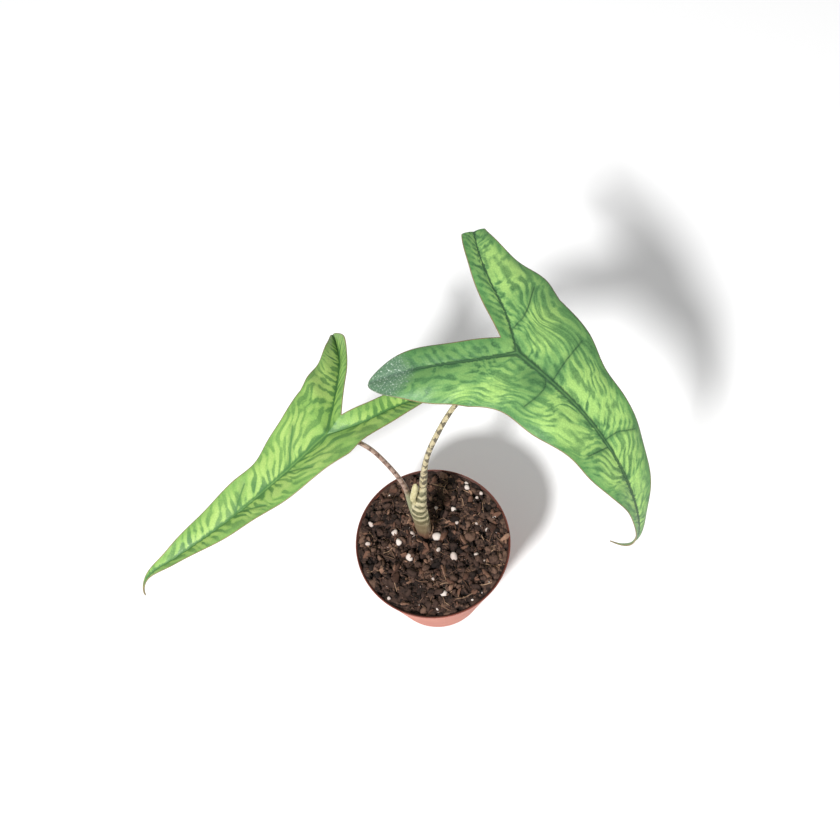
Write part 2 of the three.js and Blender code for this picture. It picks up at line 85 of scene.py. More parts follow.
camera = add_object("camera", bpy.data.cameras.new("camera"))
bpy.context.scene.camera = camera
camera.data.sensor_width = SENSOR_WIDTH
camera.data.lens = SENSOR_WIDTH * FOCAL_SHARE
camera.data.clip_start = 0.01
turn = Matrix([[right[k], up[k], -ahead[k]] for k in range(3)]).to_4x4()
camera.matrix_world = Matrix.Translation(Vector(eye * MM)) @ turn
print("camera at", np.round(eye, 1), "mm")

# %% [markdown]
# ## Floor and light
# The plant stands on a pale floor that runs out of sight. A white world lights it from all sides, and
# one lamp at the front left, less than a metre up, throws soft grey shadows towards the back right. A
# sun lamp would be simpler, but only a near lamp makes a high leaf's shadow larger than the leaf. Its
# light is held steady over the distance, so that the floor stays evenly pale.

# %% Floor, lamp and world
FLOOR_HALF = 3000.0
FLOOR_COLOUR = (0.93, 0.93, 0.93, 1)
LAMP_PLACE = (-400.0, -595.0, 911.0)
LAMP_RADIUS = 68.0
LAMP_POWER = 46.0
WORLD_POWER = 0.47

bpy.context.scene.view_settings.view_transform = "Standard"
paper = bpy.data.materials.new("floor_paper")
paper.use_nodes = True
paper_shader = paper.node_tree.nodes["Principled BSDF"]
paper_shader.inputs["Base Color"].default_value = FLOOR_COLOUR
paper_shader.inputs["Roughness"].default_value = 0.8
floor_mesh = bpy.data.meshes.new("floor")
floor_edge = FLOOR_HALF * MM
floor_corners = [(x * floor_edge, y * floor_edge, 0) for x, y in ((-1, -1), (1, -1), (1, 1), (-1, 1))]
floor_mesh.from_pydata(floor_corners, [], [(0, 1, 2, 3)])
floor_mesh.materials.append(paper)
add_object("floor", floor_mesh)

lamp = add_object("lamp", bpy.data.lights.new("lamp", "POINT"))
lamp.location = Vector(LAMP_PLACE) * MM
lamp.data.energy = LAMP_POWER
lamp.data.shadow_soft_size = LAMP_RADIUS * MM
lamp.data.use_nodes = True
lamp_tree = lamp.data.node_tree
steady = lamp_tree.nodes.new("ShaderNodeLightFalloff")
steady.inputs["Strength"].default_value = 1.0
lamp_tree.links.new(steady.outputs["Constant"], lamp_tree.nodes["Emission"].inputs["Strength"])

world = bpy.data.worlds.new("studio")
world.use_nodes = True
world.node_tree.nodes["Background"].inputs["Color"].default_value = (1, 1, 1, 1)
world.node_tree.nodes["Background"].inputs["Strength"].default_value = WORLD_POWER
bpy.context.scene.world = world
print("lamp at", LAMP_PLACE, "mm")

# %% [markdown]
# ## Tools for surfaces
# A surface is a grid of points, one array of shape (rows, columns, 3). `through` draws a smooth curve
# through a few given rows, `ripple` is a seeded smooth random field, and `make_piece` puts the
# points and faces into a mesh in metres, turned so that its faces point outwards. Most pieces could be
# modelled by hand as well, but a formula knows where on its leaf or stem each point lies, and the
# patterns need that.

# %% Curves and fields


def through(rows, t):
    """A Catmull-Rom curve: between two rows a cubic whose slopes at them are half the difference of
    their neighbours. t is 0 at the first row and len(rows) - 1 at the last one."""
    rows = np.asarray(rows, float)
    t = np.asarray(t, float)
    last = len(rows) - 1
    index = np.clip(np.floor(t).astype(int), 0, last - 1)
    a, b, c, d = (rows[np.clip(index + k, 0, last)] for k in (-1, 0, 1, 2))
    f = (t - index).reshape(t.shape + (1,) * (rows.ndim - 1))
    slope0 = (c - a) / 2
    slope1 = (d - b) / 2
    cubic = 2 * b - 2 * c + slope0 + slope1
    square = -3 * b + 3 * c - 2 * slope0 - slope1
    return ((cubic * f + square) * f + slope0) * f + b


def fine_line(rows, count):
    """A given line drawn smooth, as count rows."""
    return through(rows, np.linspace(0, len(rows) - 1, count))


def between(low, high, share):
    """low + (high - low) * share."""
    return low + (high - low) * share


def smooth_step(value, low, high):
    """0 below low, 1 above high, and an S-curve 3t^2 - 2t^3 between them."""
    t = np.clip((value - low) / (high - low), 0, 1)
    return t * t * (3 - 2 * t)


def hump(distance, width):
    """1 at distance 0, falling off over the width: e to the power of -(distance / width)^2."""
    return np.exp(-((distance / width) ** 2))


def ripple(points, size, seed, waves=24):
    """A smooth random field with a spread of 1: the sum of sine waves in seeded directions, whose
    lengths lie round size, times the root of 2 / waves."""
    rng = np.random.default_rng(seed)
    directions = rng.normal(size=(points.shape[-1], waves))
    directions /= np.linalg.norm(directions, axis=0)
    lengths = size * rng.uniform(0.7, 1.6, waves)
    phases = rng.uniform(0, 2 * np.pi, waves)
    return np.sin(2 * np.pi * (points @ directions) / lengths + phases).sum(-1) * math.sqrt(2 / waves)


def turns(count):
    """Angles at even steps round a circle, from 0."""
    return 2 * np.pi * np.arange(count) / count


def around(angle):
    """(cosine, sine) of each angle, on a last axis."""
    return np.stack([np.cos(angle), np.sin(angle)], -1)


def at_height(flat, height):
    """(x, y) and a height joined to (x, y, z)."""
    return np.concatenate([flat, np.broadcast_to(height, flat.shape[:-1])[..., None]], -1)


def unit(vectors):
    """Each vector over its own length."""
    return vectors / np.linalg.norm(vectors, axis=-1, keepdims=True)


print("spread of a ripple:", ripple(np.arange(999.0)[:, None], 9, 1).std().round(2))

# %% Faces and meshes
UV_SCALE = 100.0


def grid_faces(rows, columns, wrap=False):
    """The quads between neighbouring points of a grid, joined round the columns where wrap is set."""
    row, column = np.meshgrid(np.arange(rows - 1), np.arange(columns - (not wrap)), indexing="ij")
    a = row * columns + column
    b = row * columns + (column + 1) % columns
    return np.stack([a, b, b + columns, a + columns], -1).reshape(-1, 4)


def closed_rings(rings):
    """A grid of rings closed by a fan at each end: the points with two centres, and the faces."""
    count, sides = rings.shape[:2]
    points = np.concatenate([rings.reshape(-1, 3), rings[:1].mean(1), rings[-1:].mean(1)])
    side = np.arange(sides)
    after = (side + 1) % sides
    last = (count - 1) * sides
    low = np.stack([np.full(sides, count * sides), after, side], -1)
    high = np.stack([np.full(sides, count * sides + 1), last + side, last + after], -1)
    return points, [grid_faces(count, sides, wrap=True), low, high]


def six_times_volume(points, faces):
    """The sum over all triangles of a . (b x c), which is positive when the faces point outwards."""
    fans = [np.asarray(group)[:, [0, k, k + 1]] for group in faces for k in range(1, group.shape[1] - 1)]
    a, b, c = (points[np.concatenate(fans)[:, k]] for k in range(3))
    return (a * np.cross(b, c)).sum()


def make_piece(name, points, faces, finishes, slot, flat=None, fields=None, lower=None, replaces=()):
    """points in millimetres, faces a list of arrays of triangles or quads. flat becomes a UV map,
    fields become attributes, and lower marks the faces that take the second finish."""
    if six_times_volume(points - points.mean(0), faces) < 0:
        faces = [group[:, ::-1] for group in faces]
    mesh = bpy.data.meshes.new(name)
    mesh.from_pydata(points * MM, [], [face for group in faces for face in group.tolist()])
    mesh.shade_smooth()
    if flat is not None:
        corner = np.zeros(len(mesh.loops), np.int32)
        mesh.loops.foreach_get("vertex_index", corner)
        layer = mesh.uv_layers.new(name="flat")
        layer.data.foreach_set("uv", (flat[corner] / UV_SCALE).astype(np.float32).ravel())
    for field, values in (fields or {}).items():
        kind, key = ("FLOAT_VECTOR", "vector") if values.ndim == 2 else ("FLOAT", "value")
        mesh.attributes.new(field, kind, "POINT").data.foreach_set(key, values.astype(np.float32).ravel())
    for finish in finishes:
        mesh.materials.append(finish)
    if lower is not None:
        mesh.polygons.foreach_set("material_index", lower.astype(np.int32))
    mesh.update()
    piece = add_object(name, mesh)
    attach(piece, "root")
    if replaces:
        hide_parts(*replaces)
    size = (points.max(0) - points.min(0)).round(1)
    print(f"{name}: {sum(len(g) * (g.shape[1] - 2) for g in faces)} triangles, {size} mm")
    return piece


print("quads on three rings of four points:", len(grid_faces(3, 4, wrap=True)))

# %% [markdown]
# ## Tools for finishes
# A finish is a tree of shader nodes. It could be wired by hand in the Shader Editor, but in code one
# recipe serves several leaves or stems. `put` adds one node and hands on one of its outputs, which can
# be added, multiplied and so on like a number: each such sum is a Math node. Effects that several
# finishes share are node groups: `speckle` for uneven colour, `streaks` for a drawn-out pattern and
# `fine_grain` for a surface that isn't perfectly smooth.

# %% Node helpers


class Output:
    """What comes out of a node. A sum with it adds a Math node to its tree."""

    def __init__(self, socket):
        self.socket = socket
        self.tree = socket.id_data

    def calc(self, operation, other=0.0):
        """A Math node that takes this and one more number."""
        return put(self.tree, "ShaderNodeMath", {0: self, 1: other}, operation=operation)

    def __add__(self, other):
        return self.calc("ADD", other)

    def __sub__(self, other):
        return self.calc("SUBTRACT", other)

    def __mul__(self, other):
        return self.calc("MULTIPLY", other)

    def __truediv__(self, other):
        return self.calc("DIVIDE", other)

    def ramp(self, low, high, to_low=0.0, to_high=1.0):
        """An S-curve from to_low where this is low, to to_high where it is high."""
        values = {"Value": self, "From Min": low, "From Max": high, "To Min": to_low, "To Max": to_high}
        return put(self.tree, "ShaderNodeMapRange", values, interpolation_type="SMOOTHSTEP")

    def siblings(self):
        """All outputs of the same node, by name."""
        return {socket.name: Output(socket) for socket in self.socket.node.outputs}


def plug(inputs, values):
    """Sets inputs by name or number: an Output is linked, anything else is the input's own value."""
    for key, value in values.items():
        if isinstance(value, Output):
            value.tree.links.new(value.socket, inputs[key])
        else:
            inputs[key].default_value = value


def put(tree, kind, values=None, out=0, **settings):
    """Adds a node, sets it up and returns one of its outputs."""
    node = tree.nodes.new(kind)
    for name, setting in settings.items():
        setattr(node, name, setting)
    plug(node.inputs, values or {})
    return Output(node.outputs[out])


def split(vector):
    """The x, y and z of a vector."""
    return put(vector.tree, "ShaderNodeSeparateXYZ", {0: vector}).siblings().values()


def stretched(vector, factors):
    """A vector times three factors, which draws a pattern out where a factor is small."""
    return put(vector.tree, "ShaderNodeVectorMath", {0: vector, 1: factors}, operation="MULTIPLY")


def attribute(tree, name, out="Fac"):
    """A number that each point of a mesh carries, or with out="Vector" three of them."""
    return put(tree, "ShaderNodeAttribute", out=out, attribute_name=name)


def noise(place, scale, detail=3.0, roughness=0.55):
    """The grey output of a Noise Texture, which lies around 0.5."""
    values = {"Vector": place, "Scale": scale, "Detail": detail, "Roughness": roughness}
    return put(place.tree, "ShaderNodeTexNoise", values)


def bump(height, depth, strength):
    """A normal that tilts with the slope of a height, which counts for depth metres."""
    return put(height.tree, "ShaderNodeBump", {"Height": height, "Distance": depth, "Strength": strength})


def linear(colour):
    """Red, green and blue from 0 to 255, as in a picture file, made linear for a shader:
    ((c / 255 + 0.055) / 1.055) ^ 2.4. An Output stays as it is."""
    if isinstance(colour, Output):
        return colour
    return (*(((c / 255 + 0.055) / 1.055) ** 2.4 for c in colour), 1)


def blend(share, first, second):
    """A colour that goes from the first to the second as share goes from 0 to 1."""
    values = {0: share, 6: linear(first), 7: linear(second)}
    return put(share.tree, "ShaderNodeMix", values, out=2, data_type="RGBA")


def new_finish(name):
    """An empty material, its tree and the inputs of its Principled shader."""
    finish = bpy.data.materials.new(name)
    finish.use_nodes = True
    return finish, finish.node_tree, finish.node_tree.nodes["Principled BSDF"].inputs


def object_place(tree):
    """Object coordinates, in metres."""
    return put(tree, "ShaderNodeTexCoord", out="Object")


print("a grey of 128, made linear:", round(linear([128])[0], 3))

# %% Shared node groups
VECTOR, FLOAT = "NodeSocketVector", "NodeSocketFloat"


def new_group(name, inputs, outputs):
    """A shader node group with named sockets: itself, its inputs as Outputs and its end to plug into."""
    group = bpy.data.node_groups.new(name, "ShaderNodeTree")
    for direction, sockets in (("INPUT", inputs), ("OUTPUT", outputs)):
        for socket, kind in sockets.items():
            group.interface.new_socket(socket, in_out=direction, socket_type=kind)
    starts = group.nodes.new("NodeGroupInput").outputs
    return group, {name: Output(starts[name]) for name in inputs}, group.nodes.new("NodeGroupOutput").inputs


def use(tree, group, values):
    """Places a node group in a tree and returns its outputs by name."""
    return put(tree, "ShaderNodeGroup", values, node_tree=group).siblings()


# How strongly a spot is darker or lighter than its surroundings
speckle, ins, end = new_group(
    "speckle", {"Place": VECTOR, "Scale": FLOAT, "Low": FLOAT, "High": FLOAT}, {"Mask": FLOAT}
)
spots = noise(ins["Place"], ins["Scale"], 4, 0.6)
plug(end, {"Mask": spots.ramp(ins["Low"], ins["High"])})

# Uneven streaks that are drawn out along one of two flat directions
streaks, ins, end = new_group(
    "streaks", {name: FLOAT for name in ("Across", "Along", "Width", "Length", "Layer")}, {"Value": FLOAT}
)
drawn = {0: ins["Across"] / ins["Width"], 1: ins["Along"] / ins["Length"], 2: ins["Layer"]}
plug(end, {"Value": noise(put(streaks, "ShaderNodeCombineXYZ", drawn), 1.0, 1.2, 0.5)})

# A fine grain, as roughness and as a normal
fine_grain, ins, end = new_group(
    "fine_grain",
    {"Place": VECTOR, "Scale": FLOAT, "Roughness": FLOAT, "Spread": FLOAT, "Depth": FLOAT},
    {"Roughness": FLOAT, "Normal": VECTOR},
)
grain = noise(ins["Place"], ins["Scale"], 5, 0.65)
grainy = (grain - 0.5) * ins["Spread"] + ins["Roughness"]
plug(end, {"Roughness": grainy, "Normal": bump(grain, ins["Depth"], 1.0)})
print("shared groups:", [group.name for group in bpy.data.node_groups])

# %% [markdown]
# ## Pot
# The pot is thin moulded plastic: a straight tapered wall, a slim rolled rim, a recessed base on a
# foot ring and drain holes. The mould closes on two opposite lines, and there the wall has a low
# vertical seam. A Screw modifier could turn the section round the axis, but with even steps. Here
# numpy turns it, so that the steps can lie closer together beside the seams.

# %% Pot surface
POT_HEIGHT = 95.0
RIM_RADIUS = 52.5
BASE_RADIUS = 37.0
WALL = 0.9
RIM_ROLL = 0.45
FOOT_HEIGHT = 1.6
FOOT_WIDTH = 4.0
FOOT_ROUND = 1.0
BASE_PLATE = 2.0
INNER_ROUND = 1.5
CENTRE_PAD_RADIUS = 9.0
POT_SIDES = 240
SEAM_ANGLE = math.radians(-88)
SEAM_HEIGHT = 0.12
SEAM_WIDTH = 0.45
SEAM_FOOT, SEAM_TOP = 4.0, POT_HEIGHT - 3.0
SEAM_DEPTH = 1.2
BESIDE_SEAM = 0.03


def wall_radius(z):
    """The wall's outer radius grows evenly from the base to the rim."""
    return BASE_RADIUS + (RIM_RADIUS - BASE_RADIUS) * z / POT_HEIGHT


def arc(centre, radius, start, end, steps):
    """Points of a round stretch of the profile: centre + radius (cosine, sine)."""
    return np.array(centre) + radius * around(np.radians(np.linspace(start, end, steps)))


def pot_profile():
    """The section from the axis below, out round the foot, up the wall, over the rim and back."""
    plate_top = FOOT_HEIGHT + BASE_PLATE
    foot_inner = BASE_RADIUS - FOOT_WIDTH
    heights = np.linspace(1.2 * FOOT_ROUND, POT_HEIGHT - 3.2 * RIM_ROLL, 26)
    down = np.linspace(POT_HEIGHT - RIM_ROLL, plate_top + INNER_ROUND, 14)
    outer, inner = (wall_radius(z) - RIM_ROLL * z / POT_HEIGHT for z in (heights, down))
    corner = (wall_radius(plate_top) - WALL - INNER_ROUND - 0.1, plate_top + INNER_ROUND)
    return np.concatenate([
        [(0.0, 0.0), (CENTRE_PAD_RADIUS, 0.0), (CENTRE_PAD_RADIUS + FOOT_ROUND, FOOT_HEIGHT)],
        [(foot_inner - FOOT_ROUND, FOOT_HEIGHT), (foot_inner, 0.0)],
        arc((BASE_RADIUS - FOOT_ROUND, FOOT_ROUND), FOOT_ROUND, -90, 0, 5),
        np.stack([outer, heights], -1),
        arc((RIM_RADIUS - RIM_ROLL, POT_HEIGHT - RIM_ROLL), RIM_ROLL, -50, 180, 12),
        np.stack([inner - WALL, down], -1),
        arc(corner, INNER_ROUND, 0, -90, 5),
        [(0.0, plate_top)],
    ])


even = np.linspace(-np.pi, np.pi, POT_SIDES, endpoint=False)
beside = np.linspace(-BESIDE_SEAM, BESIDE_SEAM, 13)
angles = np.unique(np.concatenate([even, SEAM_ANGLE + beside, SEAM_ANGLE + np.pi + beside]).round(5))
radius, height = pot_profile()[1:-1].T
off_seam = np.minimum(abs(angles - SEAM_ANGLE), abs(angles - SEAM_ANGLE - np.pi)) * RIM_RADIUS
outside = (height > SEAM_FOOT) & (height < SEAM_TOP) & (radius > wall_radius(height) - SEAM_DEPTH)
turned = radius[:, None] + outside[:, None] * SEAM_HEIGHT * hump(off_seam, SEAM_WIDTH)
pot_points, pot_faces = closed_rings(at_height(turned[..., None] * around(angles), height[:, None]))


def pot_finish():
    """Terracotta-coloured plastic: slightly uneven colour, painted shade on the rim and nearly black painted
    shade just inside it, faint dust low down, satin gloss."""
    finish, tree, shader = new_finish("terracotta_plastic")
    place = object_place(tree)
    x, y, height = split(place)
    patch = use(tree, speckle, {"Place": place, "Scale": 28.0, "Low": 0.35, "High": 0.7})["Mask"]
    colour = blend(patch, (172, 92, 70), (184, 106, 82))
    # Painted shade: the top of the rim turns dark red-brown.
    rim = height.ramp(0.0925, 0.0942)
    colour = blend(rim * 0.8, colour, (100, 52, 44))
    # Painted shade: just inside the rim the wall turns nearly black-brown.
    off_axis = (x * x + y * y).calc("SQRT")
    colour = blend(rim * off_axis.ramp(0.0521, 0.0517, 0.0, 0.85), colour, (66, 44, 38))
    dust = use(tree, speckle, {"Place": place, "Scale": 260.0, "Low": 0.52, "High": 0.75})["Mask"]
    colour = blend(dust * height.ramp(0.03, 0.0, 0.05, 0.35), colour, (150, 112, 92))
    values = {"Place": place, "Scale": 700.0, "Roughness": 0.48, "Spread": 0.2, "Depth": 0.00004}
    plug(shader, {"Base Color": colour, "Specular IOR Level": 0.22, **use(tree, fine_grain, values)})
    return finish


pot = make_piece("nursery_pot", pot_points, pot_faces, [pot_finish()], "pot", replaces=["pot"])

# %% [markdown]
# The drain holes go through the recessed base. Built into the turned grid, they would break up its
# even rings, so a Boolean modifier cuts them. Six round cutters are one mesh, and the finished cut is
# written back into the pot's mesh, so that no modifier is left on it.

# %% Drain holes
DRAIN_HOLES = 6
DRAIN_RADIUS = 4.0
DRAIN_CIRCLE = 20.0
CUTTER_HEIGHT = 12.0
CUTTER_MIDDLE = 3.0

cutters = bmesh.new()
size = {"radius1": DRAIN_RADIUS * MM, "radius2": DRAIN_RADIUS * MM, "depth": CUTTER_HEIGHT * MM}
for spot in at_height(DRAIN_CIRCLE * around(turns(DRAIN_HOLES)), CUTTER_MIDDLE):
    place = Matrix.Translation(Vector(spot * MM))
    bmesh.ops.create_cone(cutters, cap_ends=True, segments=40, matrix=place, **size)
cutter_mesh = bpy.data.meshes.new("cutters")
cutters.to_mesh(cutter_mesh)
cutters.free()
cutter = add_object("cutters", cutter_mesh)
cut = pot.modifiers.new("drain", "BOOLEAN")
cut.operation = "DIFFERENCE"
cut.solver = "EXACT"
cut.object = cutter
drained = bpy.data.meshes.new_from_object(pot.evaluated_get(bpy.context.evaluated_depsgraph_get()))
pot.modifiers.clear()
pot.data = drained
bpy.data.objects.remove(cutter)
print("pot faces after the cut:", len(pot.data.polygons))

# %% [markdown]
# ## Leaves: the flat outline
# The leaf is an arrow head: a midrib from the junction to the tip, and two basal lobes, each with a
# rib of its own. On the flat leaf x runs along the midrib and y to its left, in millimetres. It could
# be cut out of a plane along a curve. Here lines run from the ribs to the edge instead, and the points
# on them are the grid, because the real veins and their relief run that way too. Each side has ten
# steps of outline from the tip to the junction, four out to the lobe's tip, and four back in to the
# notch. These are the same named shapes as in the solid model, on a finer grid.

# %% The two leaves
RIGHT_LEAF = {
    "junction": (55, 39, 255),
    "heading": -50,
    "length": 182,
    "twist": 3,
    "fold": 0.15,
    "arch_radius": 80,
    "droop": [12, 18, 26, 39, 54.5, 66, 78, 102, 140],
    "back": [12, 7, 3, 0, 0],
    "bow": [0, 1.3, 2, 1.4, 0.5, 0.2, 0, -0.2, -0.5],
    "left": [
        (182, 0), (164, 1.2), (146, 2.2), (128, 5.8), (110, 11.2), (92, 16.5), (73, 21.2), (55, 23.7),
        (38, 27.2), (19, 35.7), (-5, 41.5), (-22, 44.4), (-42, 43.2), (-64, 49), (-85, 57),
        (-75, 38.5), (-53, 21.5), (-32, 8.8), (-12, 0),
    ],
    "right": [
        (182, 0), (164, -1.2), (146, -2.2), (128, -4), (110, -7), (92, -13), (73, -19), (55, -22),
        (36, -27.2), (16, -30), (1, -38.5), (-12, -49), (-26, -57), (-40, -63.3), (-51.5, -63),
        (-49.3, -48.5), (-41.5, -33), (-26.3, -16.8), (-12, 0),
    ],
    "left_rib": [(0, 0), (-19, 12.5), (-40, 23), (-61, 36.5), (-85, 57)],
    "right_rib": [(0, 0), (-13.5, -19), (-26.5, -34), (-39, -48), (-51.5, -63)],
    "bends": [(147, 12, 350, 60), (-127, 12, 160, 60), (147, 84, 8, 120)],
    "lean": {"outer": 0.95, "inner": 0.12},
    "swing": 90.0,
    "curl": 1.15,
    "hubs": [(-6, 35, 13), (-32, 45, 11)],
    "keel": (2.2, 1.2),
    "rib_stout": {"left": 0.16, "right": 0.42},
    "steps": (250, 128, 50, 25),
}
LEFT_LEAF = {
    "junction": (-50.8, 26.3, 215),
    "heading": 210,
    "length": 142,
    "twist": 12,
    "fold": 0.45,
    "arch_radius": 80,
    "droop": [8, 10, 11, 11, 11, 13, 17, 32, 79],
    "back": [8, 2, -2, -5, -6],
    "bow": [0, 1.8, 3.2, 4, 4.2, 3.2, 1.2, -2, 0],
    "left": [
        (142, 0), (128, 1.4), (114, 4.2), (99, 6.8), (85, 9.5), (71, 12.6), (57, 15.6), (43, 18.1),
        (28, 20), (13, 22.8), (-3, 25.2), (-18, 21.8), (-36, 20.5), (-54, 18.5), (-70, 12),
        (-55, 3), (-40, 1), (-26, 0.2), (-12.8, -1.8),
    ],
    "right": [
        (142, 0), (128, -1.4), (114, -4), (99, -7.9), (85, -11.1), (71, -13.5), (57, -14.8), (42, -15.6),
        (29, -20.8), (14, -24.4), (-3, -31.5), (-13.5, -38.8), (-24, -47.5), (-35.5, -59.5), (-47, -74),
        (-47.5, -58), (-37, -36.5), (-25, -18.8), (-12.8, -1.8),
    ],
    "left_rib": [(0, 0), (-18, 7.2), (-36, 9.6), (-54, 12), (-70, 12)],
    "right_rib": [(0, 0), (-12.5, -14), (-24.5, -28.8), (-36.5, -47), (-47, -74)],
    "bends": [(-122, 14, 300, 60), (165, 14, 300, 60)],
    "lean": {"outer": 0.75, "inner": 0.1},
    "swing": 300.0,
    "curl": 0.7,
    "hubs": [(-12.8, -1.8, 17)],
    "keel": (1.7, 0.9),
    "rib_stout": {"left": 0.25, "right": 0.16},
    "steps": (200, 104, 42, 22),
}
SIDES = ("left", "right")
MIDRIB_POINTS = 10
LOBE_POINTS = 4
DROOP_POINTS = 8
print("leaf lengths:", RIGHT_LEAF["length"], "and", LEFT_LEAF["length"], "mm")

# %% [markdown]
# ## Leaves: from flat to hanging
# The flat leaf is bent in the order in which a real one bends: first each lobe rolls down past a line
# across it, then the leaf twists about its midrib, and last the midrib droops as it goes along. The
# droop is an angle at each eighth of the length, and adding up short steps at those angles gives the
# track that the midrib follows. Simple Deform modifiers could bend a sheet too, but a function can
# also say where the stalk has to meet the bent leaf.

# %% Bending a leaf
TRACK_STEP = 0.5


def leaf_placer(leaf):
    """Returns a function from flat x, y and height to the place in millimetres."""
    back_end = len(leaf["back"]) - 1

    def droop_at(x):
        past = DROOP_POINTS * np.abs(x) / leaf["length"]
        behind = through(leaf["back"], np.minimum(past, back_end))
        return np.radians(np.where(x < 0, behind, through(leaf["droop"], np.minimum(past, DROOP_POINTS))))

    tracks = {}
    for sign, length in ((1, leaf["length"]), (-1, leaf["length"] / DROOP_POINTS * back_end)):
        angle = droop_at(sign * np.arange(TRACK_STEP / 2, length + 2 * TRACK_STEP, TRACK_STEP))
        steps = TRACK_STEP * sign * around(-angle)
        tracks[sign] = np.concatenate([np.zeros((1, 2)), np.cumsum(steps, axis=0)])

    def track_at(x):
        both = {}
        for sign, track in tracks.items():
            way = TRACK_STEP * np.arange(len(track))
            both[sign] = [np.interp(sign * x, way, track[:, k]) for k in (0, 1)]
        return np.where(x < 0, both[-1], both[1])

    def place(x, y, z):
        for towards, start, radius, most in leaf["bends"]:
            ax, ay = around(math.radians(towards))
            past = np.maximum(x * ax + y * ay - start, 0)
            angle = np.minimum(past / radius, math.radians(most))
            rest = past - angle * radius
            lever = np.where(past > 0, radius + z, 0)
            shift = lever * np.sin(angle) + rest * np.cos(angle) - past
            x, y = x + shift * ax, y + shift * ay
            z = np.where(past > 0, lever * np.cos(angle) - radius - rest * np.sin(angle), z)
        cos, sin = around(math.radians(leaf["twist"]))
        across, lift = y * cos - z * sin, y * sin + z * cos
        bow = through(leaf["bow"], np.clip(DROOP_POINTS * x / leaf["length"], 0, DROOP_POINTS))
        side = across + np.where(x > 0, bow, 0)
        forward, down = track_at(x)
        forward = forward + lift * np.sin(droop_at(x))
        cos, sin = around(math.radians(leaf["heading"]))
        moved = [forward * cos - side * sin, forward * sin + side * cos, down + lift * np.cos(droop_at(x))]
        return np.stack(moved, -1) + leaf["junction"]

    return place


for leaf in (RIGHT_LEAF, LEFT_LEAF):
    tip = leaf_placer(leaf)(*np.array([leaf["length"], 0.0, 0.0]))
    print("a leaf's tip hangs at", tip.round(1), "mm")

# %% [markdown]
# ## Leaves: veins and bands
# What makes this plant is its net of veins. The secondary veins leave the midrib leaning back, swing
# round in arcs and meet the lobe's rib as short rungs, so that the streaks read like a fingerprint.
# Painted by hand, the net would be fixed in its detail and would not reach the relief. Here one number
# per point carries it: `phase`, in millimetres, grows across the streaks, and a smooth random field
# bends it. On a lobe the streaks curl back outwards before the edge. Further numbers give the distance
# to the ribs, to the few side veins and to the margin. The relief and the colours both read them, so
# they always agree.

# %% Fields on the flat leaf
AXIL = 8.0
RIGHT_SIDE_SHIFT = 1.9
LOBE_ROW_POWER = 1.4
RING_CROWDING = 0.45
KEEL_LOSS = 0.85
KEEL_AT_LOBE_TIP = 0.2
STOUT_LOSS = 0.6


def distance_to(points, lines):
    """The distance from each flat point to the nearest stretch of the lines."""
    best = np.full(len(points), 1e9)
    for line in lines:
        for start, end in zip(line[:-1], line[1:]):
            step = end - start
            t = np.clip((points - start) @ step / max(step @ step, 1e-12), 0, 1)
            best = np.minimum(best, np.linalg.norm(points - start - t[:, None] * step, axis=1))
    return best


def shares(count):
    """Steps from 0 to 1 that lie closer together at the rib: u + crowding (u^2 - u)."""
    u = np.linspace(0, 1, count + 1)
    return u + RING_CROWDING * (u * u - u)


def leaf_sheets(leaf, side):
    """The outer and the inner grid of one side, as flat places and the numbers each point carries."""
    midrib_steps, lobe_steps, outer_rings, inner_rings = leaf["steps"]
    edge = leaf[side]
    row = np.arange(midrib_steps + lobe_steps + 1)
    rest = np.clip(1 - (row - midrib_steps) / lobe_steps, 0, 1)
    lobe = LOBE_POINTS * (1 - rest ** LOBE_ROW_POWER)
    on_midrib = row <= midrib_steps
    x = leaf["length"] * np.maximum(1 - row / midrib_steps, 0)
    spine = np.where(on_midrib[:, None], np.stack([x, 0 * x], -1), through(leaf[side + "_rib"], lobe))
    outer_edge = through(edge, np.where(on_midrib, MIDRIB_POINTS * row / midrib_steps, MIDRIB_POINTS + lobe))
    inner_edge = through(edge, len(edge) - 1 - lobe)
    along = np.where(on_midrib, x, np.linalg.norm(spine, axis=1))
    thinning = 1 - KEEL_LOSS * x / leaf["length"]
    midrib_keel, lobe_keel = leaf["keel"]
    lobe_keel = between(lobe_keel, KEEL_AT_LOBE_TIP, lobe / LOBE_POINTS)
    keel = np.where(on_midrib, midrib_keel * thinning, lobe_keel)
    lobe_stout = leaf["rib_stout"][side] * (1 - STOUT_LOSS * lobe / LOBE_POINTS)
    lobe_stout = between(lobe_stout, 1, 1 - smooth_step(lobe, 0, 0.35))
    stout = np.where(on_midrib, thinning ** 2, lobe_stout)
    curl = leaf["curl"] * smooth_step(lobe, 0.1, 1.6)
    for region, first, far, share in (
        ("outer", 0, outer_edge, shares(outer_rings)),
        ("inner", midrib_steps, inner_edge, shares(inner_rings)),
    ):
        start, end = spine[first:, None], far[first:, None]
        away = share * np.linalg.norm(end - start, axis=-1)
        shift = RIGHT_SIDE_SHIFT if (side, region) == ("right", "outer") else 0.0
        back_out = curl[first:, None] * share if region == "outer" else 0.0
        turned = leaf["lean"][region] * away * (1 + away / leaf["swing"] - back_out)
        numbers = {
            "along": along[first:, None],
            "away": away,
            "share": share,
            "keel": keel[first:, None],
            "stout": stout[first:, None],
            "phase": np.sqrt(along[first:, None] ** 2 + AXIL ** 2) + turned + shift,
            "inner": float(region == "inner"),
        }
        spread = {name: np.broadcast_to(value, away.shape) for name, value in numbers.items()}
        yield between(start, end, share[:, None]), spread


